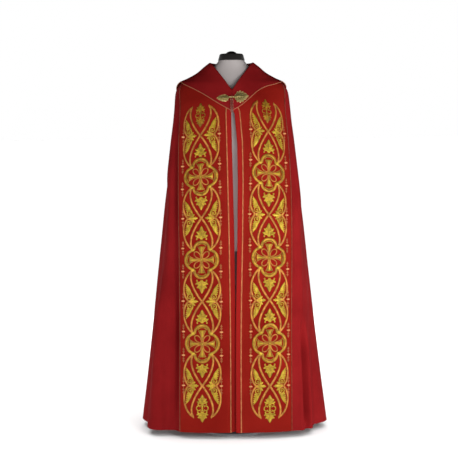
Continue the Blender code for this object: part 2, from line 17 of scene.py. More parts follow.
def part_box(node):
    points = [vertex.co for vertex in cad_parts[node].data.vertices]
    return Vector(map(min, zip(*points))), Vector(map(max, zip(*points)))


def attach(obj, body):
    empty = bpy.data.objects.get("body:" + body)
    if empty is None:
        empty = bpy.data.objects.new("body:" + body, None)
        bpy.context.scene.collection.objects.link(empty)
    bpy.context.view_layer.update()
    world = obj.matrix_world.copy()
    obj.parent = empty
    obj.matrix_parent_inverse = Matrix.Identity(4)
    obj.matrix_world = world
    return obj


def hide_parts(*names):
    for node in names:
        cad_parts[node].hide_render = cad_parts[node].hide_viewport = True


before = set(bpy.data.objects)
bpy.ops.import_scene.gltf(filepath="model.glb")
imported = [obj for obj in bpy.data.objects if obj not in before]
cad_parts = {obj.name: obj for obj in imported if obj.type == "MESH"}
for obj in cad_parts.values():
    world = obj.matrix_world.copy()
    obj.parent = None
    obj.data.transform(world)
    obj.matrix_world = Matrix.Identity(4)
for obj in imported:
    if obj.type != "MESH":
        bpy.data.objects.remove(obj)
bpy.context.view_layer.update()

FOOT_LOW, FOOT_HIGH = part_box("stand_base")
MIDDLE = (FOOT_LOW + FOOT_HIGH) / 2  # the dress form's axis
SHIFT = np.array([MIDDLE.x, MIDDLE.y, 0.0])

# ---------------------------------------------------------------------------------------- sizes
CLOTH = 0.0020
ORPHREY_CLOTH = 0.0025
COLLAR_CLOTH = 0.0025
SEAM_GAP = 0.0003
ORPHREY_WIDTH = 0.242
SHOULDER_SPREAD = 0.012  # how much wider the orphrey is over the shoulder
SPREAD_START, SPREAD_RISE = 1.42, 0.09  # the height where it starts to widen, and over what rise
BORDER_WIDTH = 0.0215  # from a front edge to the inner line of braid
PIPING_RADIUS = 0.002
COLLAR_CLEARANCE = 0.003
COLLAR_LIFT = 0.004
ROLL_RADIUS = 0.007
ROLL_LEG = 0.002

LEFT, RIGHT = -1, 1
SIDES = {"left": LEFT, "right": RIGHT}


class Level(NamedTuple):
    """A level section of the hanging cloak: half width, reach along -Y and +Y, where it is widest, and the
    power of the front's rounded outline."""

    height: float
    half_width: float
    front: float
    back: float
    middle: float
    square: float


LEVELS = (
    Level(0.030, 0.398, 0.216, 0.326, 0.052, 3.0),  # hem
    Level(0.250, 0.373, 0.210, 0.308, 0.046, 3.0),
    Level(0.470, 0.350, 0.204, 0.289, 0.040, 3.0),
    Level(0.670, 0.331, 0.197, 0.269, 0.034, 3.0),
    Level(0.850, 0.313, 0.191, 0.250, 0.028, 3.0),
    Level(1.010, 0.297, 0.185, 0.232, 0.023, 3.0),
    Level(1.160, 0.277, 0.178, 0.213, 0.018, 3.0),
    Level(1.278, 0.262, 0.169, 0.195, 0.013, 2.9),
    Level(1.368, 0.250, 0.158, 0.176, 0.009, 2.7),
    Level(1.435, 0.244, 0.142, 0.158, 0.005, 2.5),
    Level(1.488, 0.241, 0.113, 0.142, 0.002, 2.3),
    Level(1.522, 0.225, 0.094, 0.129, 0.000, 2.2),
    Level(1.542, 0.188, 0.082, 0.120, 0.000, 2.1),
    Level(1.566, 0.148, 0.067, 0.108, 0.000, 2.1),
    Level(1.594, 0.116, 0.053, 0.093, 0.000, 2.0),
    Level(1.611, 0.094, 0.044, 0.082, 0.000, 2.0),  # the neckline's sides
)
BACK_SQUARE = 2.1
OUTLINE_SAMPLES = 240  # round a half ring
FRONT_SPREAD = 2.8  # how a half ring's samples crowd together towards the side, in front


class Ring(NamedTuple):
    """A line round the cloak, by its heights at the front, the side and the back."""

    front: float
    side: float
    back: float


RINGS = (
    Ring(1.490, 1.611, 1.608),  # neckline
    Ring(1.476, 1.594, 1.590),
    Ring(1.459, 1.566, 1.562),
    Ring(1.435, 1.542, 1.528),
    Ring(1.408, 1.522, 1.492),  # shoulder
    Ring(1.378, 1.488, 1.455),
    Ring(1.342, 1.435, 1.405),
    Ring(1.298, 1.368, 1.345),
    Ring(1.240, 1.278, 1.265),
    Ring(1.150, 1.160, 1.155),
    Ring(1.010, 1.010, 1.010),
    Ring(0.850, 0.850, 0.850),
    Ring(0.670, 0.670, 0.670),
    Ring(0.470, 0.470, 0.470),
    Ring(0.250, 0.250, 0.250),
    Ring(0.030, 0.030, 0.030),  # hem
)
SHOULDER = 4
HEM = len(RINGS) - 1
HEM_HEIGHT = RINGS[HEM].side


class Fold(NamedTuple):
    """A main fold down to the hem. place and width are shares of the way from the orphrey's seam to the
    middle of the back, depth is its push at the hem, outwards if above 0, and top is where it starts."""

    place: float
    width: float
    depth: float
    top: float


BACK_FOLD = Fold(1.00, 0.080, -0.030, 1.20)
FOLDS = {
    LEFT: (
        Fold(0.055, 0.055, -0.017, 1.50),
        Fold(0.165, 0.080, 0.018, 1.44),
        Fold(0.265, 0.060, -0.010, 0.95),
        Fold(0.375, 0.085, 0.016, 1.38),
        Fold(0.480, 0.070, -0.028, 1.30),
        Fold(0.585, 0.080, 0.026, 1.22),
        Fold(0.690, 0.070, -0.032, 1.28),
        Fold(0.795, 0.080, 0.028, 1.20),
        Fold(0.895, 0.075, 0.018, 1.05),
        BACK_FOLD,
    ),
    RIGHT: (
        Fold(0.070, 0.070, 0.007, 1.30),
        Fold(0.185, 0.080, -0.024, 0.66),
        Fold(0.305, 0.085, 0.018, 1.36),
        Fold(0.415, 0.075, -0.018, 1.24),
        Fold(0.525, 0.085, 0.022, 1.30),
        Fold(0.635, 0.075, -0.030, 1.20),
        Fold(0.745, 0.085, 0.028, 1.26),
        Fold(0.850, 0.070, -0.020, 1.00),
        Fold(0.925, 0.070, 0.018, 1.12),
        BACK_FOLD,
    ),
}
FOLD_GROWTH = 1.15


class Crease(NamedTuple):
    """A soft crease between the main folds. It drifts from one place to another on its way down, both given
    as distances from the orphrey's seam, and fades in and out at its ends. depth is outwards if above 0."""

    top: float
    bottom: float
    place_top: float
    place_bottom: float
    width: float
    depth: float


CREASES = {
    LEFT: (
        Crease(1.38, 0.03, 0.018, 0.026, 0.040, -0.0135),  # the trough along the seam
        Crease(1.53, 0.95, 0.010, 0.018, 0.034, -0.0120),  # its deep upper end below the shoulder
        Crease(0.70, 0.03, 0.018, 0.020, 0.028, -0.0130),
        Crease(0.78, 0.03, 0.100, 0.112, 0.046, 0.0125),
        Crease(1.16, 0.56, 0.120, 0.120, 0.070, -0.0150),
        Crease(1.60, 1.08, 0.070, 0.080, 0.050, 0.0060),
        Crease(0.62, 0.03, 0.078, 0.076, 0.015, -0.0035),
        Crease(0.70, 0.03, 0.052, 0.054, 0.012, 0.0025),
        Crease(1.05, 0.03, 0.190, 0.225, 0.024, -0.0035),
        Crease(1.36, 0.60, 0.250, 0.300, 0.022, -0.0030),
        Crease(0.90, 0.03, 0.360, 0.400, 0.026, 0.0035),
        Crease(1.20, 0.40, 0.460, 0.520, 0.026, -0.0030),
        Crease(1.10, 0.10, 0.600, 0.690, 0.028, 0.0030),
    ),
    RIGHT: (
        Crease(1.52, 1.00, 0.022, 0.026, 0.020, -0.0120),  # the trough beside the seam below the shoulder
        Crease(1.60, 0.95, 0.064, 0.070, 0.050, 0.0105),
        Crease(1.10, 0.70, 0.020, 0.022, 0.020, -0.0040),
        Crease(1.25, 0.05, 0.055, 0.050, 0.024, 0.0040),
        Crease(0.54, 0.03, 0.056, 0.074, 0.022, -0.0300),  # the wedge near the hem
        Crease(0.50, 0.03, 0.088, 0.104, 0.022, 0.0090),
        Crease(1.15, 0.05, 0.150, 0.190, 0.022, 0.0032),
        Crease(1.34, 0.55, 0.235, 0.270, 0.024, -0.0032),
        Crease(0.95, 0.03, 0.310, 0.350, 0.024, -0.0034),
        Crease(1.25, 0.35, 0.420, 0.470, 0.026, 0.0030),
        Crease(1.05, 0.10, 0.560, 0.640, 0.028, -0.0032),
    ),
}


class Sag(NamedTuple):
    """A shallow dent or swell on an orphrey, by its distance from the front edge and its height."""

    across: float
    height: float
    half_across: float
    half_height: float
    depth: float


SAGS = {
    LEFT: (
        Sag(0.205, 1.26, 0.050, 0.20, -0.0030),
        Sag(0.060, 1.15, 0.060, 0.26, 0.0022),
        Sag(0.150, 0.88, 0.070, 0.24, -0.0025),
        Sag(0.060, 0.62, 0.055, 0.30, 0.0024),
        Sag(0.262, 0.60, 0.050, 0.66, -0.0085),  # the border sinks into the trough along the seam
        Sag(0.170, 0.40, 0.060, 0.30, 0.0026),
        Sag(0.100, 0.16, 0.060, 0.22, -0.0024),
        Sag(0.000, 0.10, 0.034, 0.55, -0.0140),  # the front edge curls back below the knee
    ),
    RIGHT: (
        Sag(0.190, 1.30, 0.060, 0.20, -0.0026),
        Sag(0.070, 1.05, 0.060, 0.28, 0.0024),
        Sag(0.160, 0.78, 0.070, 0.26, 0.0022),
        Sag(0.080, 0.48, 0.060, 0.26, -0.0026),
        Sag(0.180, 0.24, 0.060, 0.26, 0.0026),
        Sag(0.000, 0.90, 0.042, 1.30, 0.0070),  # the front edge stands a little proud
    ),
}


class Opening(NamedTuple):
    """Where the two front edges lie, to the left and right of the middle."""

    height: float
    left: float
    right: float


OPENING = (
    Opening(0.030, -0.0070, 0.0090),
    Opening(0.430, -0.0085, 0.0108),
    Opening(0.600, -0.0080, 0.0135),
    Opening(0.860, -0.0060, 0.0200),
    Opening(1.110, -0.0020, 0.0240),
    Opening(1.260, 0.0010, 0.0225),
    Opening(1.385, 0.0035, 0.0120),
    Opening(1.412, 0.0012, 0.0025),
    Opening(1.460, 0.0006, 0.0010),
    Opening(1.520, 0.0005, 0.0006),
)
CREASE_END = 1.15  # where a crease has faded out, as a share of its length
CREASE_FADE = 0.3
SEAM_FADE = 0.006  # folds and creases start this far from the seam
EDGE_TURN = {LEFT: 0.007, RIGHT: 0.0}
TURN_WIDTH = 0.030
TURN_TOP, TURN_DROP = 1.40, 0.5  # the height where the front edge starts to turn back, and over what drop


# ---------------------------------------------------------------------------------------- the draped surface
def smooth_step(x):
    x = np.clip(x, 0.0, 1.0)
    return x * x * (3 - 2 * x)


def bump(x):
    """1 at 0, and softly down to 0 at -1 and 1."""
    return np.cos(0.5 * math.pi * np.clip(x, -1, 1)) ** 2


def smooth_curve(places, values):
    """A function of place, smooth through the values and without a wave between them."""
    places, values = np.array(places, float), np.array(values, float)
    chords = np.diff(values) / np.diff(places)
    slopes = np.zeros(len(places))
    same = chords[:-1] * chords[1:] > 0
    slopes[1:-1][same] = 2 / (1 / chords[:-1][same] + 1 / chords[1:][same])
    slopes[0], slopes[-1] = chords[0], chords[-1]

    def value(place):
        place = np.clip(place, places[0], places[-1])
        i = np.clip(np.searchsorted(places, place) - 1, 0, len(places) - 2)
        span = places[i + 1] - places[i]
        u = (place - places[i]) / span
        start = values[i] * (1 + 2 * u) * (1 - u) ** 2 + slopes[i] * span * u * (1 - u) ** 2
        return start + values[i + 1] * u**2 * (3 - 2 * u) + slopes[i + 1] * span * u**2 * (u - 1)

    return value


LEVEL_AT = Level(*(smooth_curve([row.height for row in LEVELS], column) for column in zip(*LEVELS)))
RING_AT = Ring(*(smooth_curve(range(len(RINGS)), column) for column in zip(*RINGS)))


def front_depth(x, z):
    """How far the hanging cloak reaches along -Y, x from its middle at height z, the folds left out."""
    middle, square = LEVEL_AT.middle(z), LEVEL_AT.square(z)
    share = np.clip(x / LEVEL_AT.half_width(z), 0, 1)
    return (LEVEL_AT.front(z) + middle) * (1 - share**square) ** (1 / square) - middle


def half_outline(t):
    """The half ring t rings below the neckline: arc lengths seen from above, x, y, z and the level normal."""
    angle = np.linspace(0.0, math.pi, OUTLINE_SAMPLES)
    front = angle <= math.pi / 2
    share = np.where(front, np.sin(angle) ** (2 / FRONT_SPREAD), np.sin(angle) ** (2 / BACK_SQUARE))
    share[0] = share[-1] = 0.0
    ends = np.where(front, RING_AT.front(t), RING_AT.back(t))
    z = ends + (RING_AT.side(t) - ends) * np.where(front, share, share**2)
    x = float(LEVEL_AT.half_width(RING_AT.side(t))) * share
    middle = LEVEL_AT.middle(z)
    behind = (1 - np.clip(x / LEVEL_AT.half_width(z), 0, 1) ** BACK_SQUARE) ** (1 / BACK_SQUARE)
    y = np.where(front, -front_depth(x, z), middle + (LEVEL_AT.back(z) - middle) * behind)
    arc = np.concatenate([[0.0], np.cumsum(np.hypot(np.diff(x), np.diff(y)))])
    along_x, along_y = np.gradient(x, arc), np.gradient(y, arc)
    length = np.hypot(along_x, along_y)
    return arc, x, y, z, along_y / length, -along_x / length


class Drape:
    """The outer face of one half of the hanging cloak: a fine table over rings and shares of each ring."""

    RINGS_STEP = 0.05
    SHARES = 521
    ACROSS = (-0.004, 0.268, 137)  # the unrolled orphrey's grid: from, to and how many, across it
    UP = (0.028, 1.60, 787)
    REACH = 0.004  # how far a normal looks to each side

    def __init__(self, side):
        self.side = side
        self.t = np.linspace(0, HEM, int(HEM / self.RINGS_STEP) + 1)
        heights = [row.height for row in OPENING]
        places = [row.left if side == LEFT else row.right for row in OPENING]
        self.edges = np.interp(RING_AT.front(self.t), heights, places)
        shares = np.linspace(0, 1, self.SHARES)
        rows, totals, seams = [], [], []
        for t, edge in zip(self.t, self.edges):
            arc, x, y, z, normal_x, normal_y = half_outline(t)
            spread = smooth_step((RING_AT.side(t) - SPREAD_START) / SPREAD_RISE)
            width = ORPHREY_WIDTH + SHOULDER_SPREAD * spread
            seam = min(edge + width, float(arc[int(np.argmax(x))]))
            at = shares * arc[-1]
            x, y, z, normal_x, normal_y = (np.interp(at, arc, c) for c in (x, y, z, normal_x, normal_y))
            push = self.push(at, edge, seam, arc[-1], z)
            rows.append(np.stack([side * (x + push * normal_x), y + push * normal_y, z], axis=-1))
            totals.append(arc[-1])
            seams.append(seam)
        self.table, self.totals, self.seams = np.array(rows), np.array(totals), np.array(seams)
        self.unroll_orphrey()

    def push(self, arc, edge, seam, total, z):
        """How far the folds, creases and sags push the cloth out at these arcs of one ring."""
        share = (arc - seam) / (total - seam)
        push = np.zeros_like(arc)
        for fold in FOLDS[self.side]:
            drop = np.clip((fold.top - z) / (fold.top - HEM_HEIGHT), 0, 1)
            push += fold.depth * bump((share - fold.place) / fold.width) * drop**FOLD_GROWTH * (share > 0)
        past_seam = arc - seam
        fade = smooth_step(past_seam / SEAM_FADE)
        for crease in CREASES[self.side]:
            along = (crease.top - z) / (crease.top - crease.bottom)
            place = crease.place_top + (crease.place_bottom - crease.place_top) * along
            reach = smooth_step(along / CREASE_FADE) * smooth_step((CREASE_END - along) / CREASE_FADE)
            push += crease.depth * bump((past_seam - place) / crease.width) * reach * fade
        from_edge = arc - edge
        for sag in SAGS[self.side]:
            over = bump((from_edge - sag.across) / sag.half_across)
            push += sag.depth * over * bump((z - sag.height) / sag.half_height)
        turn = EDGE_TURN[self.side] * smooth_step((TURN_TOP - z) / TURN_DROP)
        return push - turn * np.clip(1 - from_edge / TURN_WIDTH, 0, None) ** 2

    def total(self, t):
        return np.interp(t, self.t, self.totals)

    def edge(self, t):
        return np.interp(t, self.t, self.edges)

    def seam(self, t):
        return np.interp(t, self.t, self.seams)

    def point(self, arc, t):
        """Points of the outer face. An arc below 0 lies across the middle of the front."""
        arc, t = np.broadcast_arrays(np.asarray(arc, float), np.asarray(t, float))
        row = np.clip(t / HEM, 0, 1) * (len(self.t) - 1)
        column = np.clip(arc / self.total(t), 0, 1) * (self.SHARES - 1)
        r = np.minimum(row.astype(int), len(self.t) - 2)
        c = np.minimum(column.astype(int), self.SHARES - 2)
        fr, fc = (row - r)[..., None], (column - c)[..., None]
        found = (self.table[r, c] * (1 - fc) + self.table[r, c + 1] * fc) * (1 - fr)
        found = found + (self.table[r + 1, c] * (1 - fc) + self.table[r + 1, c + 1] * fc) * fr
        over = np.minimum(arc, 0)
        found[..., 0] = np.where(over < 0, self.side * over, found[..., 0])
        slope = (self.table[r, 6, 2] - self.table[r, 0, 2]) / (6 / (self.SHARES - 1) * self.total(t))
        found[..., 2] += over * slope
        return found

    def normal(self, arc, t):
        """Outward normals, from the surface's slopes."""
        arc, t = np.broadcast_arrays(np.asarray(arc, float), np.asarray(t, float))
        ahead, behind = np.minimum(arc + self.REACH, self.total(t)), arc - self.REACH
        below, above = np.minimum(t + self.RINGS_STEP, HEM), np.maximum(t - self.RINGS_STEP, 0)
        across = self.point(ahead, t) - self.point(behind, t)
        down = self.point(arc, below) - self.point(arc, above)
        found = np.cross(down, across) * self.side
        return found / np.linalg.norm(found, axis=-1, keepdims=True)

    def unroll_orphrey(self):
        """Places and normals of the orphrey on an even grid of distances from the front edge and heights."""
        self.sheet_u, self.sheet_z = np.linspace(*self.ACROSS), np.linspace(*self.UP)
        columns = []
        for u in self.sheet_u:
            line = self.point(self.edge(self.t) + u, self.t)
            line = line[np.argsort(line[:, 2])]
            x, y = (np.interp(self.sheet_z, line[:, 2], line[:, axis]) for axis in (0, 1))
            columns.append([x, y, self.sheet_z])
        self.sheet = np.moveaxis(np.array(columns), 1, 2)
        across, up = np.gradient(self.sheet, axis=0), np.gradient(self.sheet, axis=1)
        normals = np.cross(across, up) * self.side
        self.sheet_normals = normals / np.linalg.norm(normals, axis=-1, keepdims=True)

    def lay_on_orphrey(self, flat):
        """Lays flat points (from the front edge, height, off the cloth) on the orphrey."""
        step_u, step_z = self.sheet_u[1] - self.sheet_u[0], self.sheet_z[1] - self.sheet_z[0]
        column = np.clip((flat[:, 0] - self.sheet_u[0]) / step_u, 0, len(self.sheet_u) - 1.001)
        row = np.clip((flat[:, 1] - self.sheet_z[0]) / step_z, 0, len(self.sheet_z) - 1.001)
        c, r = column.astype(int), row.astype(int)
        fc, fr = (column - c)[:, None], (row - r)[:, None]
        places = []
        for table in (self.sheet, self.sheet_normals):
            low = table[c, r] * (1 - fc) + table[c + 1, r] * fc
            high = table[c, r + 1] * (1 - fc) + table[c + 1, r + 1] * fc
            places.append(low * (1 - fr) + high * fr)
        return places[0] + places[1] * flat[:, 2:3]


DRAPES = {side: Drape(side) for side in (LEFT, RIGHT)}


# ---------------------------------------------------------------------------------------- finishes
def linear(hexes):
    """An sRGB hex colour as linear RGBA."""
    parts = [int(hexes[i : i + 2], 16) / 255 for i in (1, 3, 5)]
    return tuple(p / 12.92 if p <= 0.04045 else ((p + 0.055) / 1.055) ** 2.4 for p in parts) + (1.0,)


def add_node(tree, kind, sockets=None, ends=(), **settings):
    """Adds a node with its settings. A socket's value is a number or colour, or another node's output. ends
    are the hex colours of a colour ramp."""
    made = tree.nodes.new(kind)
    for name, value in settings.items():
        setattr(made, name, value)
    for name, value in (sockets or {}).items():
        if isinstance(value, bpy.types.NodeSocket):
            tree.links.new(value, made.inputs[name])
        else:
            made.inputs[name].default_value = value
    for place, colour in enumerate(ends):
        made.color_ramp.elements[place].color = linear(colour)
    return made


def new_finish(name, **values):
    """A material with a Principled shader of these values."""
    made = bpy.data.materials.new(name)
    made.use_nodes = True
    tree = made.node_tree
    shader = tree.nodes["Principled BSDF"]
    for socket, value in values.items():
        shader.inputs[socket.replace("_", " ")].default_value = value
    return made, tree, shader


def bands_per_metre(period):
    """A Wave texture's scale for bands this far apart, in metres."""
    return math.tau / 20 / period


MIX_FIRST, MIX_SECOND, MIX_RESULT = 6, 7, 2  # a Mix node's colour sockets


def wool_cloth(name, light, dark, roughness, border=None):
    """Twill-woven wool blend: matt, with a faint diagonal rib and a slightly uneven dye. The real ribs are
    0.6 mm apart. They are drawn at three times that, so that they show. The dye varies over about 140 mm, and
    the slubs are 2.4 mm long. border is a clearer red for the strip along the front edge."""
    made, tree, shader = new_finish(name, Roughness=roughness, Specular_IOR_Level=0.03)
    place = add_node(tree, "ShaderNodeUVMap", uv_map="UVMap").outputs["UV"]
    solid = add_node(tree, "ShaderNodeTexCoord").outputs["Object"]
    dye = add_node(tree, "ShaderNodeTexNoise", {"Vector": solid, "Scale": 7.0, "Detail": 3.0})
    slub = add_node(tree, "ShaderNodeTexNoise", {"Vector": place, "Scale": 420.0, "Detail": 2.0})
    both = add_node(tree, "ShaderNodeMath", {0: dye.outputs["Fac"], 1: slub.outputs["Fac"]}, operation="ADD")
    spread = add_node(
        tree, "ShaderNodeMapRange", {"Value": both.outputs[0], "From Min": 0.75, "From Max": 1.25}
    )
    colour = add_node(tree, "ShaderNodeValToRGB", {"Fac": spread.outputs[0]}, ends=(dark, light)).outputs[0]
    if border:
        across = add_node(tree, "ShaderNodeSeparateXYZ", {"Vector": place}).outputs["X"]
        strip = add_node(tree, "ShaderNodeMath", {0: across, 1: BORDER_WIDTH}, operation="LESS_THAN")
        sockets = {0: strip.outputs[0], MIX_FIRST: colour, MIX_SECOND: linear(border)}
        colour = add_node(tree, "ShaderNodeMix", sockets, data_type="RGBA").outputs[MIX_RESULT]
    turned = add_node(tree, "ShaderNodeMapping", {"Vector": place, "Rotation": (0, 0, math.radians(52))})
    rib = add_node(
        tree,
        "ShaderNodeTexWave",
        {"Vector": turned.outputs[0], "Scale": bands_per_metre(0.0018), "Distortion": 0.6, "Detail": 1.0},
    )
    mixed = add_node(tree, "ShaderNodeMath", {0: rib.outputs["Fac"], 1: slub.outputs["Fac"]}, operation="ADD")
    sockets = {"Height": mixed.outputs[0], "Strength": 0.35, "Distance": 0.0004}
    relief = add_node(tree, "ShaderNodeBump", sockets)
    tree.links.new(colour, shader.inputs["Base Color"])
    tree.links.new(relief.outputs[0], shader.inputs["Normal"])
    return made


def satin_thread(name, bright, deep, metallic, roughness, painted_rim_shade="#582a04"):
    """Machine satin stitch in metallised thread: threads lie side by side across each ribbon and catch the
    light along it, and a darker colour is painted along its rims as painted shade. The real threads are 0.4
    mm apart and are drawn at 0.9 mm, so that they show. Their tone varies over about 17 mm."""
    made, tree, shader = new_finish(
        name, Metallic=metallic, Roughness=roughness, Anisotropic=0.6, Specular_IOR_Level=0.3
    )
    place = add_node(tree, "ShaderNodeUVMap", uv_map="UVMap").outputs["UV"]
    solid = add_node(tree, "ShaderNodeTexCoord").outputs["Object"]
    way = add_node(tree, "ShaderNodeTangent", direction_type="UV_MAP", uv_map="UVMap")
    tree.links.new(way.outputs[0], shader.inputs["Tangent"])
    thread = add_node(
        tree,
        "ShaderNodeTexWave",
        {"Vector": place, "Scale": bands_per_metre(0.0009), "Distortion": 0.8, "Detail": 1.0},
        bands_direction="X",
    ).outputs["Fac"]
    patches = add_node(tree, "ShaderNodeTexNoise", {"Vector": solid, "Scale": 60.0, "Detail": 3.0})
    both = add_node(tree, "ShaderNodeMath", {0: patches.outputs["Fac"], 1: 1.5}, operation="MULTIPLY")
    part = add_node(tree, "ShaderNodeMath", {0: thread, 1: 0.35}, operation="MULTIPLY")
    total = add_node(tree, "ShaderNodeMath", {0: both.outputs[0], 1: part.outputs[0]}, operation="ADD")
    spread = add_node(
        tree, "ShaderNodeMapRange", {"Value": total.outputs[0], "From Min": 0.55, "From Max": 1.25}
    )
    # Painted shade: the outer parts of every ribbon's width, read from the UV's second axis, are mixed
    # towards a darker colour
    across = add_node(tree, "ShaderNodeSeparateXYZ", {"Vector": place}).outputs["Y"]
    off = add_node(tree, "ShaderNodeMath", {0: across}, operation="ABSOLUTE")
    rim = add_node(
        tree, "ShaderNodeMapRange", {"Value": off.outputs[0], "From Min": 0.0034, "From Max": 0.0048}
    )
    colour = add_node(tree, "ShaderNodeValToRGB", {"Fac": spread.outputs[0]}, ends=(deep, bright)).outputs[0]
    sockets = {0: rim.outputs[0], MIX_FIRST: colour, MIX_SECOND: linear(painted_rim_shade)}
    with_painted_rim_shade = add_node(tree, "ShaderNodeMix", sockets, data_type="RGBA").outputs[MIX_RESULT]
    relief = add_node(tree, "ShaderNodeBump", {"Height": thread, "Strength": 0.5, "Distance": 0.0003})
    tree.links.new(with_painted_rim_shade, shader.inputs["Base Color"])
    tree.links.new(relief.outputs[0], shader.inputs["Normal"])
    return made


def cast_metal(name, film, bare):
    """Cast metal, tumbled and lightly aged: satin, with a brown film in patches of about 4 mm and paler bare
    metal between them."""
    made, tree, shader = new_finish(name, Metallic=1.0, Roughness=0.55)
    solid = add_node(tree, "ShaderNodeTexCoord").outputs["Object"]
    worn = add_node(tree, "ShaderNodeTexNoise", {"Vector": solid, "Scale": 260.0, "Detail": 4.0})
    worn = worn.outputs["Fac"]
    spread = add_node(tree, "ShaderNodeMapRange", {"Value": worn, "From Min": 0.35, "From Max": 0.65})
    colour = add_node(tree, "ShaderNodeValToRGB", {"Fac": spread.outputs[0]}, ends=(film, bare))
    relief = add_node(tree, "ShaderNodeBump", {"Height": worn, "Strength": 0.4, "Distance": 0.0004})
    tree.links.new(colour.outputs[0], shader.inputs["Base Color"])
    tree.links.new(relief.outputs[0], shader.inputs["Normal"])
    return made


def knitted_jersey():
    """Cotton jersey stretched over the padded torso: matt and grey-white, with fine columns of stitches and
    faint marks about 110 mm across. The real stitches are 1 mm wide and are drawn at 3 mm, to be seen."""
    made, tree, shader = new_finish("cotton_jersey", Roughness=0.9, Specular_IOR_Level=0.2)
    place = add_node(tree, "ShaderNodeUVMap", uv_map="UVMap").outputs["UV"]
    knit = add_node(
        tree,
        "ShaderNodeTexWave",
        {"Vector": place, "Scale": bands_per_metre(0.003), "Distortion": 0.5, "Detail": 1.0},
    )
    soil = add_node(tree, "ShaderNodeTexNoise", {"Vector": place, "Scale": 9.0, "Detail": 4.0})
    colour = add_node(tree, "ShaderNodeValToRGB", {"Fac": soil.outputs["Fac"]}, ends=("#a9a19f", "#bfb8b6"))
    sockets = {"Height": knit.outputs["Fac"], "Strength": 0.3, "Distance": 0.0004}
    relief = add_node(tree, "ShaderNodeBump", sockets)
    tree.links.new(colour.outputs[0], shader.inputs["Base Color"])
    tree.links.new(relief.outputs[0], shader.inputs["Normal"])
    return made


def speckled(name, light, dark, grain, depth, **values):
    """A moulded, turned or coated surface with a fine grain of this size in metres."""
    made, tree, shader = new_finish(name, **values)
    solid = add_node(tree, "ShaderNodeTexCoord").outputs["Object"]
    noise = add_node(tree, "ShaderNodeTexNoise", {"Vector": solid, "Scale": 1 / grain, "Detail": 3.0})
    noise = noise.outputs["Fac"]
    colour = add_node(tree, "ShaderNodeValToRGB", {"Fac": noise}, ends=(dark, light))
    relief = add_node(tree, "ShaderNodeBump", {"Height": noise, "Strength": 0.3, "Distance": depth})
    tree.links.new(colour.outputs[0], shader.inputs["Base Color"])
    tree.links.new(relief.outputs[0], shader.inputs["Normal"])
    return made


CLOAK_CLOTH = wool_cloth("red_wool_twill", "#931d1f", "#7f1618", 0.78)
ORPHREY_FINISH = wool_cloth("red_wool_stiffened", "#921e16", "#7f160f", 0.74, border="#981c19")
# Each satin finish below paints a darker colour along its ribbons' rims as painted shade
GOLD_THREAD = satin_thread("gold_satin_stitch", "#d28e3a", "#82490f", 0.30, 0.45)
RING_THREAD = satin_thread("old_gold_satin_stitch", "#c29028", "#704f08", 0.30, 0.45)
LEAF_THREAD = satin_thread("bright_gold_satin_stitch", "#d2ae32", "#8a6d0c", 0.30, 0.42)
COPPER_THREAD = satin_thread("copper_satin_stitch", "#bc6c3c", "#8c4a1c", 0.25, 0.45, painted_rim_shade="#512306")
LINE_BRAID = satin_thread("copper_gold_braid", "#dd8b58", "#a35834", 0.15, 0.5, painted_rim_shade="#91512e")
# The seam's braid is the same braid as the inner line, coloured darker as painted shade of the trough along
# the seam
SHADED_SEAM_BRAID = satin_thread("copper_braid_painted_shade", "#a35134", "#702e1c", 0.15, 0.5, painted_rim_shade="#5f2718")
BRASS = cast_metal("aged_cast_brass", "#94804c", "#dccc90")
CHAIN_COPPER = cast_metal("aged_copper_chain", "#7a4436", "#d8907c")
JERSEY = knitted_jersey()
# Laid cord of the same copper thread, round the collar's edge
CORD_FINISH = speckled("copper_laid_cord", "#c47650", "#8e4a2e", 0.0016, 0.0002, Roughness=0.5, Metallic=0.15)
# Pearl-coated glass beads: a pale peach pearl under a clear gloss
BEAD_GLASS = speckled("peach_pearl_glass", "#f0ac6a", "#cc8448", 0.0006, 0.00005, Roughness=0.3)
# Moulded black plastic: an even satin with a fine grain
CAP_PLASTIC = speckled("black_plastic", "#24211f", "#161412", 0.0015, 0.0001, Roughness=0.45)
# Powder-coated steel: a fine orange-peel and a dull shine
COATED_STEEL = speckled(
    "powder_coated_steel", "#7c7c7e", "#68686b", 0.0012, 0.0001, Roughness=0.5, Metallic=0.2
)


# ---------------------------------------------------------------------------------------- meshes
def grid_faces(rows, columns, around=False):
    """The quads of a grid of points, row after row."""
    r, c = np.meshgrid(np.arange(rows - 1), np.arange(columns if around else columns - 1), indexing="ij")
    a, b = r * columns + c, r * columns + (c + 1) % columns
    return np.stack([a, b, b + columns, a + columns], axis=-1).reshape(-1, 4)


def tube_faces(rows, columns):
    """The quads of a tube of rings, and its two end faces."""
    ends = [list(range(columns)), list(range((rows - 1) * columns, rows * columns))]
    return grid_faces(rows, columns, around=True).tolist() + ends


def rim_of(rows, columns):
    """The points along a grid's border, once round."""
    index = np.arange(rows * columns).reshape(rows, columns)
    return np.concatenate([index[0, :-1], index[:-1, -1], index[-1, :0:-1], index[:0:-1, 0]])


def give_uv(mesh, uv):
    """A UV map from one pair for each point."""
    corners = np.empty(len(mesh.loops), np.int32)
    mesh.loops.foreach_get("vertex_index", corners)
    mesh.uv_layers.new(name="UVMap").data.foreach_set("uv", np.asarray(uv, np.float32)[corners].ravel())


def fix_normals(mesh):
    """Turns every face outwards."""
    work = bmesh.new()
    work.from_mesh(mesh)
    bmesh.ops.recalc_face_normals(work, faces=work.faces[:])
    work.to_mesh(mesh)
    work.free()


def placed(name, data):
    """An object of this mesh, lamp or lens in the scene."""
    made = bpy.data.objects.new(name, data)
    bpy.context.scene.collection.objects.link(made)
    return made


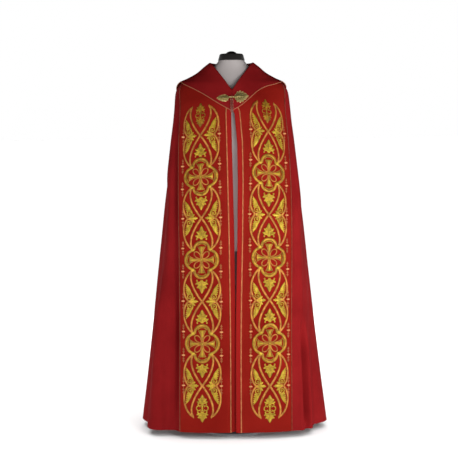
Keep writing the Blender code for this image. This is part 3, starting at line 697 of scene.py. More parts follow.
def make_piece(name, points, faces, finish, slot, uv=None, tidy=True, sharp=50):
    """A mesh object in place, with its normals outwards. uv is one pair for each point, in metres."""
    mesh = bpy.data.meshes.new(name)
    mesh.from_pydata((np.asarray(points, float) + SHIFT).tolist(), [], [list(map(int, f)) for f in faces])
    if uv is not None:
        give_uv(mesh, uv)
    if tidy:
        fix_normals(mesh)
    mesh.shade_smooth()
    mesh.set_sharp_from_angle(angle=math.radians(sharp))
    mesh.materials.append(finish)
    return settle(placed(name, mesh))


def settle(piece):
    """Puts a piece on the one body."""
    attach(piece, "root")
    return piece


def cloth_shell(name, points, normals, out, thickness, finish, uv):
    """A thin closed wall on a grid of points: its outer face lies out from them, its inner one further in."""
    rows, columns = points.shape[:2]
    outer = (points + normals * out).reshape(-1, 3)
    middle = (points + normals * (out - thickness / 2)).reshape(-1, 3)
    inner = (points + normals * (out - thickness)).reshape(-1, 3)
    count = rows * columns
    faces = [grid_faces(rows, columns), grid_faces(rows, columns)[:, ::-1] + count]
    rim = rim_of(rows, columns)
    around = np.cross(middle[np.roll(rim, -1)] - middle[np.roll(rim, 1)], normals.reshape(-1, 3)[rim])
    around /= np.linalg.norm(around, axis=1, keepdims=True) + 1e-12
    edge = np.arange(len(rim)) + 2 * count
    after = np.roll(edge, -1)
    faces.append(np.stack([rim, edge, after, np.roll(rim, -1)], axis=-1))
    faces.append(np.stack([edge, rim + count, np.roll(rim, -1) + count, after], axis=-1))
    sign = rim_sign(middle, rim, around, columns)
    rounded = middle[rim] + around * sign * thickness * 0.35
    everything = np.concatenate([outer, inner, rounded])
    flat = uv.reshape(-1, 2)
    flat = np.concatenate([flat, flat, flat[rim]])
    return make_piece(name, everything, np.concatenate(faces), *finish, flat)


def rim_sign(middle, rim, around, columns):
    """1 or -1, so that the rim's sideways direction points away from the sheet."""
    first = rim[columns // 2]
    away = middle[first] - middle[first + columns]
    return 1.0 if float(np.dot(around[columns // 2], away)) > 0 else -1.0


def measured(points):
    """UV in metres for a grid: the mean way across, and the way down each column."""
    across = np.linalg.norm(np.diff(points, axis=1), axis=-1).cumsum(axis=1)
    down = np.linalg.norm(np.diff(points, axis=0), axis=-1).cumsum(axis=0)
    across = np.concatenate([np.zeros((len(points), 1)), across], axis=1)
    down = np.concatenate([np.zeros((1, points.shape[1])), down], axis=0)
    return np.stack([across, down], axis=-1)


# ---------------------------------------------------------------------------------------- the cloak
def ring_rows(step):
    """Rings whose rows are about this far apart down the side."""
    t = np.linspace(0, HEM, 1501)
    heights = RING_AT.side(t)
    steps = np.hypot(np.diff(heights), np.diff(LEVEL_AT.half_width(heights)))
    length = np.concatenate([[0], np.cumsum(steps)])
    count = int(length[-1] / step)
    return np.interp(np.linspace(0, length[-1], count), length, t)


BODY_ROWS, BODY_COLUMNS = 0.0125, 171  # metres from row to row, and points across
ORPHREY_ROWS, ORPHREY_COLUMNS = 0.0105, 41


def build_panel(node, drape, start, end, t, columns, thickness, finish):
    """A cloth panel between two lines down the cloak, given by their arcs on the rings t."""
    arc = start + (end - start) * np.linspace(0, 1, columns)[None, :]
    points, normals = drape.point(arc, t), drape.normal(arc, t)
    piece = cloth_shell(f"cope_{node}", points, normals, 0.0, thickness, finish, measured(points))
    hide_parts(node)
    return piece


def build_body(label, side):
    """Half of the cloak's body, from the orphrey's seam to the middle of the back."""
    drape, t = DRAPES[side], ring_rows(BODY_ROWS)[:, None]
    start, end = drape.seam(t) + SEAM_GAP, drape.total(t) - SEAM_GAP / 2
    finish = (CLOAK_CLOTH, "cloak")
    return build_panel(f"body_{label}", drape, start, end, t, BODY_COLUMNS, CLOTH, finish)


def build_orphrey(label, side):
    """The stiffened band down one front, from the front edge to the seam with the body."""
    drape, t = DRAPES[side], ring_rows(ORPHREY_ROWS)[:, None]
    start, end = drape.edge(t), drape.seam(t)
    finish = (ORPHREY_FINISH, "orphrey")
    return build_panel(f"orphrey_{label}", drape, start, end, t, ORPHREY_COLUMNS, ORPHREY_CLOTH, finish)


# ---------------------------------------------------------------------------------------- the collar
COLLAR_BACK_DROP = 4.3
COLLAR_BACK_POWER = 0.75
COLLAR_RISE = {LEFT: 0.15, RIGHT: 0.65}
COLLAR_RISE_PLACE, COLLAR_RISE_WIDTH = 0.24, 0.22  # shares of the way round one side, as those below
COLLAR_SHOULDER_RISE = 0.30
COLLAR_SHOULDER = 0.45
SIDE_BULGE = {LEFT: 0.014, RIGHT: 0.005}
SIDE_BULGE_PLACE, SIDE_BULGE_WIDTH = 0.64, 0.12
COLLAR_RIPPLE = 0.0018
COLLAR_COLUMNS = 110  # on each side
COLLAR_ROWS = 34
ROLL_STEPS = 10


def collar_edge(side, share):
    """How many rings the collar reaches down, from 0 at its front edge to 1 at the middle of the back."""
    behind = np.clip(share - 0.5, 0, None) / 0.5
    rise = COLLAR_RISE[side] * bump((share - COLLAR_RISE_PLACE) / COLLAR_RISE_WIDTH)
    rise = rise + COLLAR_SHOULDER_RISE * smooth_step(share / COLLAR_SHOULDER)
    return SHOULDER - rise + COLLAR_BACK_DROP * behind**COLLAR_BACK_POWER


def collar_out(side, share, down):
    """How far the collar's outer face lies off the cloak, down being 0 at the neck and 1 at the edge."""
    lift = COLLAR_LIFT * smooth_step((share - 0.3) / 0.25)
    bulge = SIDE_BULGE[side] * bump((share - SIDE_BULGE_PLACE) / SIDE_BULGE_WIDTH)
    ripple = COLLAR_RIPPLE * np.sin(share * 19 + side) * smooth_step((share - 0.35) / 0.2)
    return COLLAR_CLEARANCE + COLLAR_CLOTH + (lift + bulge + ripple) * down**2


def collar_grid(side):
    """The collar's outer face and normals on one side, in rows from inside the neckline over the roll to the
    edge."""
    drape = DRAPES[side]
    share = np.linspace(0, 1, COLLAR_COLUMNS + 1)[None, :]
    down = np.linspace(0, 1, COLLAR_ROWS + 1)[:, None]
    t = collar_edge(side, share) * down
    arc = drape.edge(t) + (drape.total(t) - drape.edge(t)) * share
    normals = drape.normal(arc, t)
    points = drape.point(arc, t) + normals * collar_out(side, share, down)[..., None]
    top = points[0]
    out = normals[0]
    along = points[1] - points[0]
    along /= np.linalg.norm(along, axis=-1, keepdims=True)
    roll, roll_normals = [top - out * 2 * ROLL_RADIUS + along * ROLL_LEG], [-out]
    for step in range(ROLL_STEPS, 0, -1):
        angle = math.pi * step / ROLL_STEPS
        roll.append(top - along * ROLL_RADIUS * math.sin(angle) - out * ROLL_RADIUS * (1 - math.cos(angle)))
        roll_normals.append(out * math.cos(angle) - along * math.sin(angle))
    return np.concatenate([roll, points]), np.concatenate([roll_normals, normals])


def build_collar():
    """The folded collar, both sides as one sheet."""
    left, left_normals = collar_grid(LEFT)
    right, right_normals = collar_grid(RIGHT)
    points = np.concatenate([left, right[:, -2::-1]], axis=1)
    normals = np.concatenate([left_normals, right_normals[:, -2::-1]], axis=1)
    uv = measured(points)
    piece = cloth_shell("cope_collar", points, normals, 0.0, COLLAR_CLOTH, (CLOAK_CLOTH, "cloak"), uv)
    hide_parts("collar")
    return piece, points, normals


# ---------------------------------------------------------------------------------------- Geometry Nodes
def plain_mesh(name, tree, values):
    """Runs a Geometry Nodes tree on an empty mesh with these named inputs, and returns the result as a mesh.
    The helper objects among the inputs are then removed."""
    carrier = placed(name + "_maker", bpy.data.meshes.new(name + "_maker"))
    modifier = carrier.modifiers.new("nodes", "NODES")
    modifier.node_group = tree
    for socket in tree.interface.items_tree:
        if socket.item_type == "SOCKET" and socket.in_out == "INPUT" and socket.name in values:
            modifier[socket.identifier] = values[socket.name]
    bpy.context.view_layer.update()
    evaluated = carrier.evaluated_get(bpy.context.evaluated_depsgraph_get())
    mesh = bpy.data.meshes.new_from_object(evaluated)
    for helper in [carrier] + [value for value in values.values() if isinstance(value, bpy.types.Object)]:
        bpy.data.objects.remove(helper)
    mesh.name = name
    return mesh


def new_tree(name, inputs):
    """A Geometry Nodes tree with these named inputs, (name, kind, value), and its input node."""
    tree = bpy.data.node_groups.new(name, "GeometryNodeTree")
    for label, kind, value in inputs:
        socket = tree.interface.new_socket(label, in_out="INPUT", socket_type="NodeSocket" + kind)
        if value is not None:
            socket.default_value = value
    tree.interface.new_socket("Geometry", in_out="OUTPUT", socket_type="NodeSocketGeometry")
    return tree, add_node(tree, "NodeGroupInput")


def close_tree(tree, given, geometry):
    """Ends a tree: its instances made real, in its Finish."""
    real = add_node(tree, "GeometryNodeRealizeInstances", {"Geometry": geometry})
    sockets = {"Geometry": real.outputs[0], "Material": given.outputs["Finish"]}
    finish = add_node(tree, "GeometryNodeSetMaterial", sockets)
    add_node(tree, "NodeGroupOutput", {"Geometry": finish.outputs[0]})
    return tree


def row_tree():
    """Copies of a motif in a straight row, every second one turned by Half Turn about the row."""
    inputs = (
        ("Motif", "Object", None),
        ("Count", "Int", 3),
        ("Step", "Vector", (0, 0, 0)),
        ("Half Turn", "Float", 0.0),
        ("Finish", "Material", None),
    )
    tree, given = new_tree("row_of_motifs", inputs)
    spacing = {"Count": given.outputs["Count"], "Offset": given.outputs["Step"]}
    line = add_node(tree, "GeometryNodeMeshLine", spacing)
    index = add_node(tree, "GeometryNodeInputIndex")
    odd = add_node(tree, "ShaderNodeMath", {0: index.outputs[0], 1: 2.0}, operation="MODULO")
    half = {0: odd.outputs[0], 1: given.outputs["Half Turn"]}
    turn = add_node(tree, "ShaderNodeMath", half, operation="MULTIPLY")
    angles = add_node(tree, "ShaderNodeCombineXYZ", {"Z": turn.outputs[0]})
    motif = add_node(tree, "GeometryNodeObjectInfo", {"Object": given.outputs["Motif"]})
    copies = add_node(
        tree,
        "GeometryNodeInstanceOnPoints",
        {"Points": line.outputs[0], "Instance": motif.outputs["Geometry"], "Rotation": angles.outputs[0]},
    )
    return close_tree(tree, given, copies.outputs[0])


def beads_tree():
    """A round bead on every point of a mesh."""
    inputs = (
        ("Places", "Object", None),
        ("Radius", "Float", 0.001),
        ("Stretch", "Vector", (1, 1, 1)),
        ("Finish", "Material", None),
    )
    tree, given = new_tree("beads_on_points", inputs)
    places = add_node(tree, "GeometryNodeObjectInfo", {"Object": given.outputs["Places"]})
    round_bead = {"Radius": given.outputs["Radius"], "Subdivisions": 2}
    bead = add_node(tree, "GeometryNodeMeshIcoSphere", round_bead)
    smooth = add_node(tree, "GeometryNodeSetShadeSmooth", {"Geometry": bead.outputs[0]})
    sockets = {"Points": places.outputs["Geometry"], "Instance": smooth.outputs[0]}
    sockets["Scale"] = given.outputs["Stretch"]
    copies = add_node(tree, "GeometryNodeInstanceOnPoints", sockets)
    return close_tree(tree, given, copies.outputs[0])


def cord_tree():
    """A laid cord along a path: a lobed section that turns once in every Lay."""
    inputs = (
        ("Path", "Object", None),
        ("Section", "Object", None),
        ("Step", "Float", 0.0015),
        ("Lay", "Float", 0.01),
        ("Finish", "Material", None),
    )
    tree, given = new_tree("laid_cord", inputs)
    path = add_node(tree, "GeometryNodeObjectInfo", {"Object": given.outputs["Path"]})
    line = add_node(tree, "GeometryNodeMeshToCurve", {"Mesh": path.outputs["Geometry"]})
    spacing = {"Curve": line.outputs[0], "Length": given.outputs["Step"]}
    even = add_node(tree, "GeometryNodeResampleCurve", spacing, mode="LENGTH")
    along = add_node(tree, "GeometryNodeSplineParameter")
    lay = {0: along.outputs["Length"], 1: given.outputs["Lay"]}
    laps = add_node(tree, "ShaderNodeMath", lay, operation="DIVIDE")
    turn = add_node(tree, "ShaderNodeMath", {0: laps.outputs[0], 1: math.tau}, operation="MULTIPLY")
    tilt = add_node(tree, "GeometryNodeSetCurveTilt", {"Curve": even.outputs[0], "Tilt": turn.outputs[0]})
    section = add_node(tree, "GeometryNodeObjectInfo", {"Object": given.outputs["Section"]})
    outline = add_node(tree, "GeometryNodeMeshToCurve", {"Mesh": section.outputs["Geometry"]})
    body = add_node(
        tree,
        "GeometryNodeCurveToMesh",
        {"Curve": tilt.outputs[0], "Profile Curve": outline.outputs[0], "Fill Caps": True},
    )
    return close_tree(tree, given, body.outputs[0])


ROW_TREE, BEADS_TREE, CORD_TREE = row_tree(), beads_tree(), cord_tree()


def helper_object(name, points, edges=(), faces=(), uv=None):
    """A mesh that only feeds a tree."""
    mesh = bpy.data.meshes.new(name)
    edges, faces = ([list(map(int, run)) for run in runs] for runs in (edges, faces))
    mesh.from_pydata(np.asarray(points, float).tolist(), edges, faces)
    if uv is not None:
        give_uv(mesh, uv)
    mesh.shade_smooth()
    return placed(name, mesh)


def mesh_points(mesh):
    """A mesh's points as rows of x, y and z."""
    flat = np.empty(len(mesh.vertices) * 3)
    mesh.vertices.foreach_get("co", flat)
    return flat.reshape(-1, 3)


def piece_of(name, mesh, points, finish, turn=False):
    """The tree's mesh as a finished piece, its points moved to these places."""
    mesh.vertices.foreach_set("co", (np.asarray(points) + SHIFT).astype(np.float32).ravel())
    if turn:
        mesh.flip_normals()
    mesh.materials.clear()
    mesh.materials.append(finish)
    mesh.update()
    return settle(placed(name, mesh))


def joined(name, pieces):
    """Several pieces as one, which keeps the first one's slot."""
    bpy.ops.object.select_all(action="DESELECT")
    for piece in pieces:
        piece.select_set(True)
    bpy.context.view_layer.objects.active = pieces[0]
    bpy.ops.object.join()
    pieces[0].name = name
    return pieces[0]


# ---------------------------------------------------------------------------------------- embroidery
MM = 0.001


def bow(*corners, steps=18):
    """A smooth line from the first corner to the last, pulled towards those between (a Bezier curve)."""
    t = np.linspace(0, 1, steps)[:, None]
    degree = len(corners) - 1
    shares = [math.comb(degree, k) * t**k * (1 - t) ** (degree - k) for k in range(degree + 1)]
    return sum(share * np.array(corner, float) for share, corner in zip(shares, corners))


def arc_line(centre, radius, start, end, steps=16):
    """Part of a circle, or of a spiral if radius is a pair. Angles in degrees from +u towards +v."""
    angle = np.radians(np.linspace(start, end, steps))
    reach = np.linspace(*radius, steps) if isinstance(radius, tuple) else radius
    return np.stack([centre[0] + reach * np.cos(angle), centre[1] + reach * np.sin(angle)], axis=-1)


class Run(NamedTuple):
    """One stitched shape: its thread, points, UV and faces."""

    thread: str
    points: np.ndarray
    uv: np.ndarray
    faces: np.ndarray


class Stitching:
    """Satin-stitched ribbons, leaves and dots on the flat, in millimetres, each in one of the threads."""

    TOP = 0.74  # the ribbon's flat top, as a share of its width
    RIM_SHADE_UV_REACH = 0.010  # the UV's reach across every ribbon, whatever its width; the satin finishes paint shade near both ends of it

    def __init__(self):
        self.runs = []

    def ribbon(self, thread, path, width, height=1.4, lift=0.0):
        """A padded ribbon along a path. width and lift are one number, or one for each point."""
        path = np.asarray(path, float)
        steps = len(path)
        width = np.broadcast_to(np.asarray(width, float), (steps,))
        lift = np.broadcast_to(np.asarray(lift, float), (steps,))
        along = np.gradient(path, axis=0)
        along /= np.linalg.norm(along, axis=1, keepdims=True) + 1e-9
        side = np.stack([-along[:, 1], along[:, 0]], axis=-1)
        top = np.minimum(height, 0.2 + width * 0.4)
        way = np.concatenate([[0], np.cumsum(np.linalg.norm(np.diff(path, axis=0), axis=1))]) * MM
        ring, uv = [], []
        for across, high in ((-0.5, 0.0), (-0.5 * self.TOP, 1.0), (0.5 * self.TOP, 1.0), (0.5, 0.0)):
            ring.append(np.column_stack([path + side * (width * across)[:, None], lift + top * high]))
            uv.append(np.column_stack([way, np.full(steps, across * self.RIM_SHADE_UV_REACH)]))
        last = (steps - 1) * 4
        caps = np.array([[3, 2, 1, 0], [last, last + 1, last + 2, last + 3]])
        faces = np.concatenate([grid_faces(steps, 4, around=True), caps])
        points, uv = np.stack(ring, axis=1).reshape(-1, 3), np.stack(uv, axis=1).reshape(-1, 2)
        self.runs.append(Run(thread, points, uv, faces))

    def leaf(self, thread, start, end, width, bend=0.0, fullest=0.45, steps=9, lift=0.0, height=1.4):
        """A leaf-shaped lobe, widest at a share of its length, its spine bowed sideways."""
        start, end = np.array(start, float), np.array(end, float)
        way = end - start
        aside = np.array([-way[1], way[0]]) * bend
        share = np.linspace(0, 1, steps)
        profile = np.sin(math.pi * share ** (math.log(0.5) / math.log(fullest))) ** 0.75
        path = bow(start, (start + end) / 2 + aside, end, steps=steps)
        self.ribbon(thread, path, np.maximum(width * profile, 0.5), height, lift)

    def dot(self, thread, centre, radius, lift=0.0):
        """A small padded knot."""
        u, v = centre
        self.leaf(thread, (u - radius, v), (u + radius, v), 2 * radius, fullest=0.5, lift=lift)

    def mirrored(self, across=True, up=None):
        """Adds the mirror image across the axis u = 0, and then the one about the height up, if given."""
        flips = [((-1, 1, 1), 0)] * bool(across) + [((1, -1, 1), up)] * (up is not None)
        for flip, axis in flips:
            move = np.array([0, 2 * axis, 0])
            for run in list(self.runs):
                self.runs.append(run._replace(points=run.points * flip + move, faces=run.faces[:, ::-1]))
        return self

    def add(self, other, up=0.0, upside_down=False):
        """Adds a copy of another drawing, turned over if asked, and moved up."""
        flip = -1 if upside_down else 1
        for run in other.runs:
            moved = run.points * np.array([1, flip, 1]) + np.array([0, up, 0])
            self.runs.append(run._replace(points=moved, faces=run.faces[:, ::flip]))
        return self

    def parts(self, thread):
        """Points, faces and UV of one thread's runs, in metres."""
        runs = [run for run in self.runs if run.thread == thread]
        starts = np.cumsum([0] + [len(run.points) for run in runs])
        faces = np.concatenate([run.faces + start for run, start in zip(runs, starts)])
        points = np.concatenate([run.points for run in runs]) * MM
        return points, faces, np.concatenate([run.uv for run in runs])


# The ornament's sizes in millimetres, from a crossing at v = 0 up to the middle of the next quatrefoil
HALF_CELL = 178.5
KNOT = (39.5, 134.0)  # where a pair of straps meets the quatrefoil
STRAP = 9.0
LOBE_UP = (46.0, 37.5)  # the quatrefoil's top lobe: how far its centre is from the middle, and its radius
LOBE_SIDE = (27.6, 48.4)
RING_BAND = (6.0, 12.4)  # how far inside the outline the quatrefoil's band lies, and its width
RING_LINE = (14.6, 4.0)  # the same for the line inside each lobe
VOLUTE = (53.0, -19.5)
BORDER = 82.0  # from the ornament's axis to the small crosslets at its sides
CROSSLETS = ((0.0, 38), (HALF_CELL - 50, 30), (HALF_CELL + 50, 30))  # each one's height and reach
TIP = (39.0, 128.0)  # where the straps close at the band's ends


def wing():
    """A half palmette like a wing: a broad leaf whose inner edge is smooth and slightly full, with feathers
    along its outer edge and a small tail that runs under the volute of the other strap."""
    made = Stitching()
    low, high = np.array([53.0, 33.0]), np.array([70.8, 76.0])
    way = (high - low) / np.linalg.norm(high - low)
    outward = np.array([way[1], -way[0]])
    share = np.linspace(0, 1, 14)
    width = np.interp(share, (0.0, 0.2, 0.4, 0.6, 0.8, 1.0), (19.0, 20.0, 17.5, 13.0, 7.0, 0.6))
    spine = low + (high - low) * share[:, None] - outward * 2.0 * np.sin(math.pi * share)[:, None]
    made.ribbon("leaf", spine, width, height=1.0)
    for k, (root, reach) in enumerate(((-0.10, 13.5), (0.08, 13.0), (0.26, 11.0), (0.44, 9.0), (0.62, 6.5))):
        start = low + (high - low) * root
        end = low + (high - low) * (root + 0.20) + outward * reach
        made.leaf("leaf", start, end, 8.6 - 1.1 * k, bend=0.16, fullest=0.66, lift=0.5 + 0.15 * k, height=1.1)
    made.ribbon("leaf", bow((47, 37), (40, 29), (38.0, 19), steps=8), np.linspace(6.0, 3.0, 8), lift=0.3)
    return made


def straps(knot):
    """The straps and wings on the right of the axis, from a crossing up to a knot. The outer strap curls into
    the volute below the crossing's level."""
    made = Stitching()
    outer = bow((knot[0] + 2, knot[1] - 2), (75, 111), (98, 36), (57, -1), steps=30)
    made.ribbon("gold", outer, STRAP, lift=0.3)
    made.ribbon("gold", bow((57, -1), (49, -5), (42.5, -13.2), steps=7), np.linspace(STRAP, 5.0, 7), lift=0.5)
    made.ribbon("leaf", arc_line(VOLUTE, (13.0, 4.8), 149, 609, 26), np.linspace(4.8, 3.2, 26), lift=0.9)
    made.dot("leaf", VOLUTE, 3.4, lift=0.9)
    made.add(wing())
    return made


def inner_straps(knot):
    """The two straps that cross on the axis, one passing over the other."""
    made = Stitching()
    path = bow((-0.5, -1.0), (65.5, 86), knot, steps=30)
    made.ribbon("gold", path, STRAP, lift=0.15 + 0.9 * bump(np.linspace(0, 4.2, 30)))
    made.ribbon("gold", path * np.array([-1, 1]), STRAP)
    return made


def trefoil():
    """The flower beside a crossing: three leaves with notched sides."""
    made = Stitching()
    for tip, width in (((15.5, 0), 13), ((29, 16.5), 12), ((28.5, -17.0), 12)):
        root = np.array([53.0, tip[1] * 0.15])
        made.leaf("leaf", root, tip, width, fullest=0.55, lift=0.4)
        for share in (0.40, 0.66):
            place = root + (np.array(tip) - root) * share
            for sign in (1, -1):
                aside = np.array([-3.5, sign * width * 0.56])
                made.leaf("leaf", place - aside * 0.2, place + aside, 5.0, fullest=0.6, steps=6)
    made.dot("leaf", (52, 0), 4.5, lift=0.6)
    return made


def palmette(base, tip, half, thread="leaf"):
    """An upright palmette on the axis: a pointed body in three tiers, blunt lobes over the two wider ones,
    and a pair of curled feet."""
    made = Stitching()
    length = tip - base
    hand = 1 if length > 0 else -1

    def at(u, v):
        return np.array([u * half, base + v * length])

    made.leaf(thread, at(0.20, 0.20), at(0.98, 0.34), 0.34 * half, bend=-0.16 * hand, fullest=0.62, lift=0.7)
    made.leaf(thread, at(0.16, 0.43), at(0.76, 0.60), 0.32 * half, bend=-0.16 * hand, fullest=0.62, lift=0.8)
    foot = bow(at(0.10, 0.03), at(0.14, 0.22), at(0.72, 0.24), at(0.78, 0.05), steps=10)
    made.ribbon(thread, foot, 0.17 * half, lift=0.6)
    made.dot(thread, at(0.74, 0.04), 0.13 * half, lift=0.5)
    made.leaf("ring", at(0.12, 0.24), at(0.70, 0.34), 2.4, bend=-0.2 * hand, lift=2.0, height=0.8, steps=6)
    made.leaf("ring", at(0.10, 0.46), at(0.52, 0.58), 2.2, bend=-0.2 * hand, lift=2.0, height=0.8, steps=6)
    made.mirrored()
    places = (0.08, 0.14, 0.22, 0.30, 0.37, 0.44, 0.50, 0.57, 0.63, 0.69, 0.76, 0.84, 0.92, 1.00)
    widths = (0.30, 0.44, 1.20, 1.84, 1.60, 1.16, 1.26, 1.40, 1.10, 0.74, 0.72, 0.54, 0.32, 0.03)
    share = np.linspace(0.08, 1.0, 26)
    body = at(0, 0) + (at(0, 1) - at(0, 0)) * share[:, None]
    made.ribbon(thread, body, np.maximum(half * np.interp(share, places, widths), 0.6), height=0.9)
    made.leaf(thread, at(0, 0.52), at(0, 1.0), 0.56 * half, fullest=0.40, lift=0.8)
    made.leaf(thread, at(0, 0.00), at(0, 0.55), 0.30 * half, fullest=0.4, lift=1.0)
    made.leaf("ring", at(0, 0.20), at(0, 0.84), 2.6, lift=2.2, height=0.8)
    return made


def double_palmette(low, high, half, thread):
    """Two palmettes base to base with small scrolls between them, for the ends of the band."""
    waist = low + (high - low) * 0.47
    made = Stitching()
    made.ribbon(thread, arc_line((0.58 * half, waist + 2), 0.38 * half, -120, 120, 12), 4.4)
    made.ribbon(thread, arc_line((0.22 * half, waist + 11), (5.0, 2.0), -60, 230, 9), 2.8)
    made.ribbon(thread, arc_line((0.22 * half, waist - 7), (5.0, 2.0), 60, -230, 9), 2.8)
    made.mirrored()
    made.add(palmette(waist - 11, low, half * 0.92, thread))
    made.add(palmette(waist + 15, high, half, thread))
    made.leaf(thread, (0, waist - 13), (0, waist + 17), 7.0, lift=0.5)
    return made


def ring_crossing(inset):
    """Where the top lobe's circle, drawn this far inside the outline, meets the right lobe's."""
    up, right = LOBE_UP[1] - inset, LOBE_SIDE[1] - inset
    gap = math.hypot(LOBE_UP[0], LOBE_SIDE[0])
    along = (up**2 - right**2 + gap**2) / (2 * gap)
    aside = math.sqrt(max(up**2 - along**2, 0))
    toward = np.array([LOBE_SIDE[0], -LOBE_UP[0]]) / gap
    return np.array([0, LOBE_UP[0]]) + toward * along + np.array([-toward[1], toward[0]]) * aside


def flared_arm(reach):
    """The upper arm of the cross: a narrow stem that flares to a wide end, with a lighter leaf down its
    middle and a fine line along each side."""
    made = Stitching()
    share = np.linspace(0, 1, 12)
    spread = 2.6 + 13.6 * share**2.4
    made.ribbon("gold", np.column_stack([spread, 6 + (reach - 8) * share]), 2.8, lift=0.6)
    made.mirrored()
    made.ribbon("ring", np.column_stack([0 * share, 5 + (reach - 6) * share]), 2 * spread, height=0.8)
    made.leaf("leaf", (0, 12), (0, reach), 9.5, fullest=0.72, lift=0.9)
    return made


def quatrefoil():
    """The quatrefoil's band and inner lines, and its cross of flared arms with four looped petals."""
    quarter = Stitching()
    inset, width = RING_BAND
    meet = ring_crossing(inset)
    low = math.degrees(math.atan2(meet[1] - LOBE_UP[0], meet[0]))
    high = math.degrees(math.atan2(meet[1], meet[0] - LOBE_SIDE[0]))
    quarter.ribbon("ring", arc_line((0, LOBE_UP[0]), LOBE_UP[1] - inset, 90, low, 16), width)
    quarter.ribbon("ring", arc_line((LOBE_SIDE[0], 0), LOBE_SIDE[1] - inset, 0, high, 16), width, lift=0.3)
    inset, width = RING_LINE
    quarter.ribbon("ring", arc_line((0, LOBE_UP[0]), LOBE_UP[1] - inset, 90, 36, 8), width)
    quarter.ribbon("ring", arc_line((LOBE_SIDE[0], 0), LOBE_SIDE[1] - inset, 0, 40, 8), width)
    for first, second in (((2.0, 25.0), (18.0, 40.0)), ((24.5, 4.8), (37.8, 22.2))):
        quarter.ribbon("gold", bow((4, 4.6), first, second, (30, 33.5), steps=14), 4.6, lift=0.5)
    quarter.mirrored(up=0.0)
    whole = Stitching()
    whole.add(quarter)
    whole.add(flared_arm(58)).add(flared_arm(58), upside_down=True)
    across = flared_arm(54)
    across.runs = [r._replace(points=r.points[:, [1, 0, 2]], faces=r.faces[:, ::-1]) for r in across.runs]
    across.mirrored()
    whole.add(across)
    whole.dot("leaf", (0, 0), 5.0, lift=1.0)
    return whole


def crosslet(height, reach):
    """The small upright ornament of the side borders: a stem with buds, and a bar at its middle."""
    made = Stitching()
    stem = bow((BORDER, height - reach), (BORDER, height), (BORDER, height + reach), steps=7)
    made.ribbon("copper", stem, 2.6, height=0.9)
    made.leaf("copper", (BORDER - 8.5, height), (BORDER + 8.5, height), 6.4, fullest=0.5, steps=8)
    for sign in (1, -1):
        for share, side in ((0.34, 1), (0.34, -1), (0.64, 1), (0.64, -1)):
            low = height + sign * reach * share
            end = (BORDER + side * 5.4, low + sign * 6.0)
            made.leaf("copper", (BORDER, low), end, 5.4, bend=0.2 * side * sign, steps=6)
        start, end = ((BORDER, height + sign * (reach + more)) for more in (-9, 2))
        made.leaf("copper", start, end, 5.6, steps=6)
    return made


def gold_cell():
    """One repeat: a quatrefoil, and the straps, wings and palmettes that join it to the crossings."""
    made = straps(KNOT)
    made.dot("leaf", (KNOT[0] - 0.5, KNOT[1] + 0.5), 8.0, lift=0.9)
    made.mirrored()
    made.add(inner_straps(KNOT))
    made.add(palmette(93, 34, 28.0))
    made.mirrored(across=False, up=HALF_CELL)
    return made.add(quatrefoil(), up=HALF_CELL)


def end_motif(half_width, reach, thread):
    """The band's end beyond its last crossing: straps that close in points round a double palmette."""
    made = straps(TIP)
    made.leaf("gold", (TIP[0] + 3, TIP[1] - 9), (TIP[0] - 2, TIP[1] + 6), 8, lift=0.6, height=1.0)
    made.mirrored()
    made.add(inner_straps(TIP))
    return made.add(double_palmette(36, reach, half_width, thread))


# For each side, upwards: the crossings' heights, closer together where the chest slopes, and the ornament's
# axis, measured from the front edge, by height
CROSSINGS = {LEFT: (0.2335, 0.5960, 0.9517, 1.2998), RIGHT: (0.2298, 0.5999, 0.9636, 1.3145)}
AXES = {
    LEFT: (
        (0.03, 0.1440),
        (0.41, 0.1420),
        (0.77, 0.1405),
        (0.95, 0.1375),
        (1.13, 0.1366),
        (1.30, 0.1340),
        (1.46, 0.1322),
    ),
    RIGHT: (
        (0.03, 0.1440),
        (0.50, 0.1445),
        (0.65, 0.1405),
        (0.78, 0.1365),
        (0.95, 0.1325),
        (1.14, 0.1320),
        (1.32, 0.1345),
        (1.46, 0.1360),
    ),
}
# How steeply the rows of ornament drop towards the side seam, by height: the band hangs askew over the chest
LEAN_HEIGHTS = (0.60, 0.80, 0.95, 1.13, 1.30, 1.46)
LEAN = {LEFT: (0.0, 0.025, 0.040, 0.067, 0.085, 0.090), RIGHT: (0.0, 0.028, 0.055, 0.080, 0.120, 0.135)}
# How much the ornament's inner half narrows near the top, where the front edge turns away, and how far the
# whole ornament rises there
PINCH_HEIGHTS = (1.00, 1.10, 1.22, 1.29, 1.46)
PINCH = {LEFT: (0.0, 0.0, 0.0, 0.0, 0.0), RIGHT: (0.0, 0.035, 0.050, 0.100, 0.120)}
RISE = (0.0, 0.0010, 0.0015, 0.0015, 0.0015)
REPEATS = 3
REPEAT = 2 * HALF_CELL
BAND_BELOW, BAND_ABOVE = 0.189, 0.170  # from the first and last crossing to half a repeat beyond it
BEAD_RADIUS, BEAD_STRETCH, BEAD_LIFT = 0.0036, (2.1, 0.9, 1.1), 0.0022
THREADS = {"gold": GOLD_THREAD, "ring": RING_THREAD, "leaf": LEAF_THREAD, "copper": COPPER_THREAD}


def flat_band():
    """The whole band on the flat: the cell that repeats, what is sewn on once, and where the beads go."""
    cell = gold_cell()
    for height, reach in CROSSLETS:
        cell.add(crosslet(height, reach).mirrored())
    loose = Stitching()
    top = REPEATS * REPEAT
    loose.add(crosslet(*CROSSLETS[0]).mirrored(), up=top)
    loose.add(end_motif(22, 144, "ring"), up=top).add(end_motif(26, 150, "leaf"), upside_down=True)
    for k in range(REPEATS + 1):
        loose.add(trefoil().mirrored(), up=REPEAT * k)
    heights = [height + REPEAT * k for k in range(REPEATS) for height, _ in CROSSLETS]
    return cell, loose, [(u, v) for v in heights + [top] for u in (-BORDER, BORDER)]


CELL, LOOSE, BEADS = flat_band()


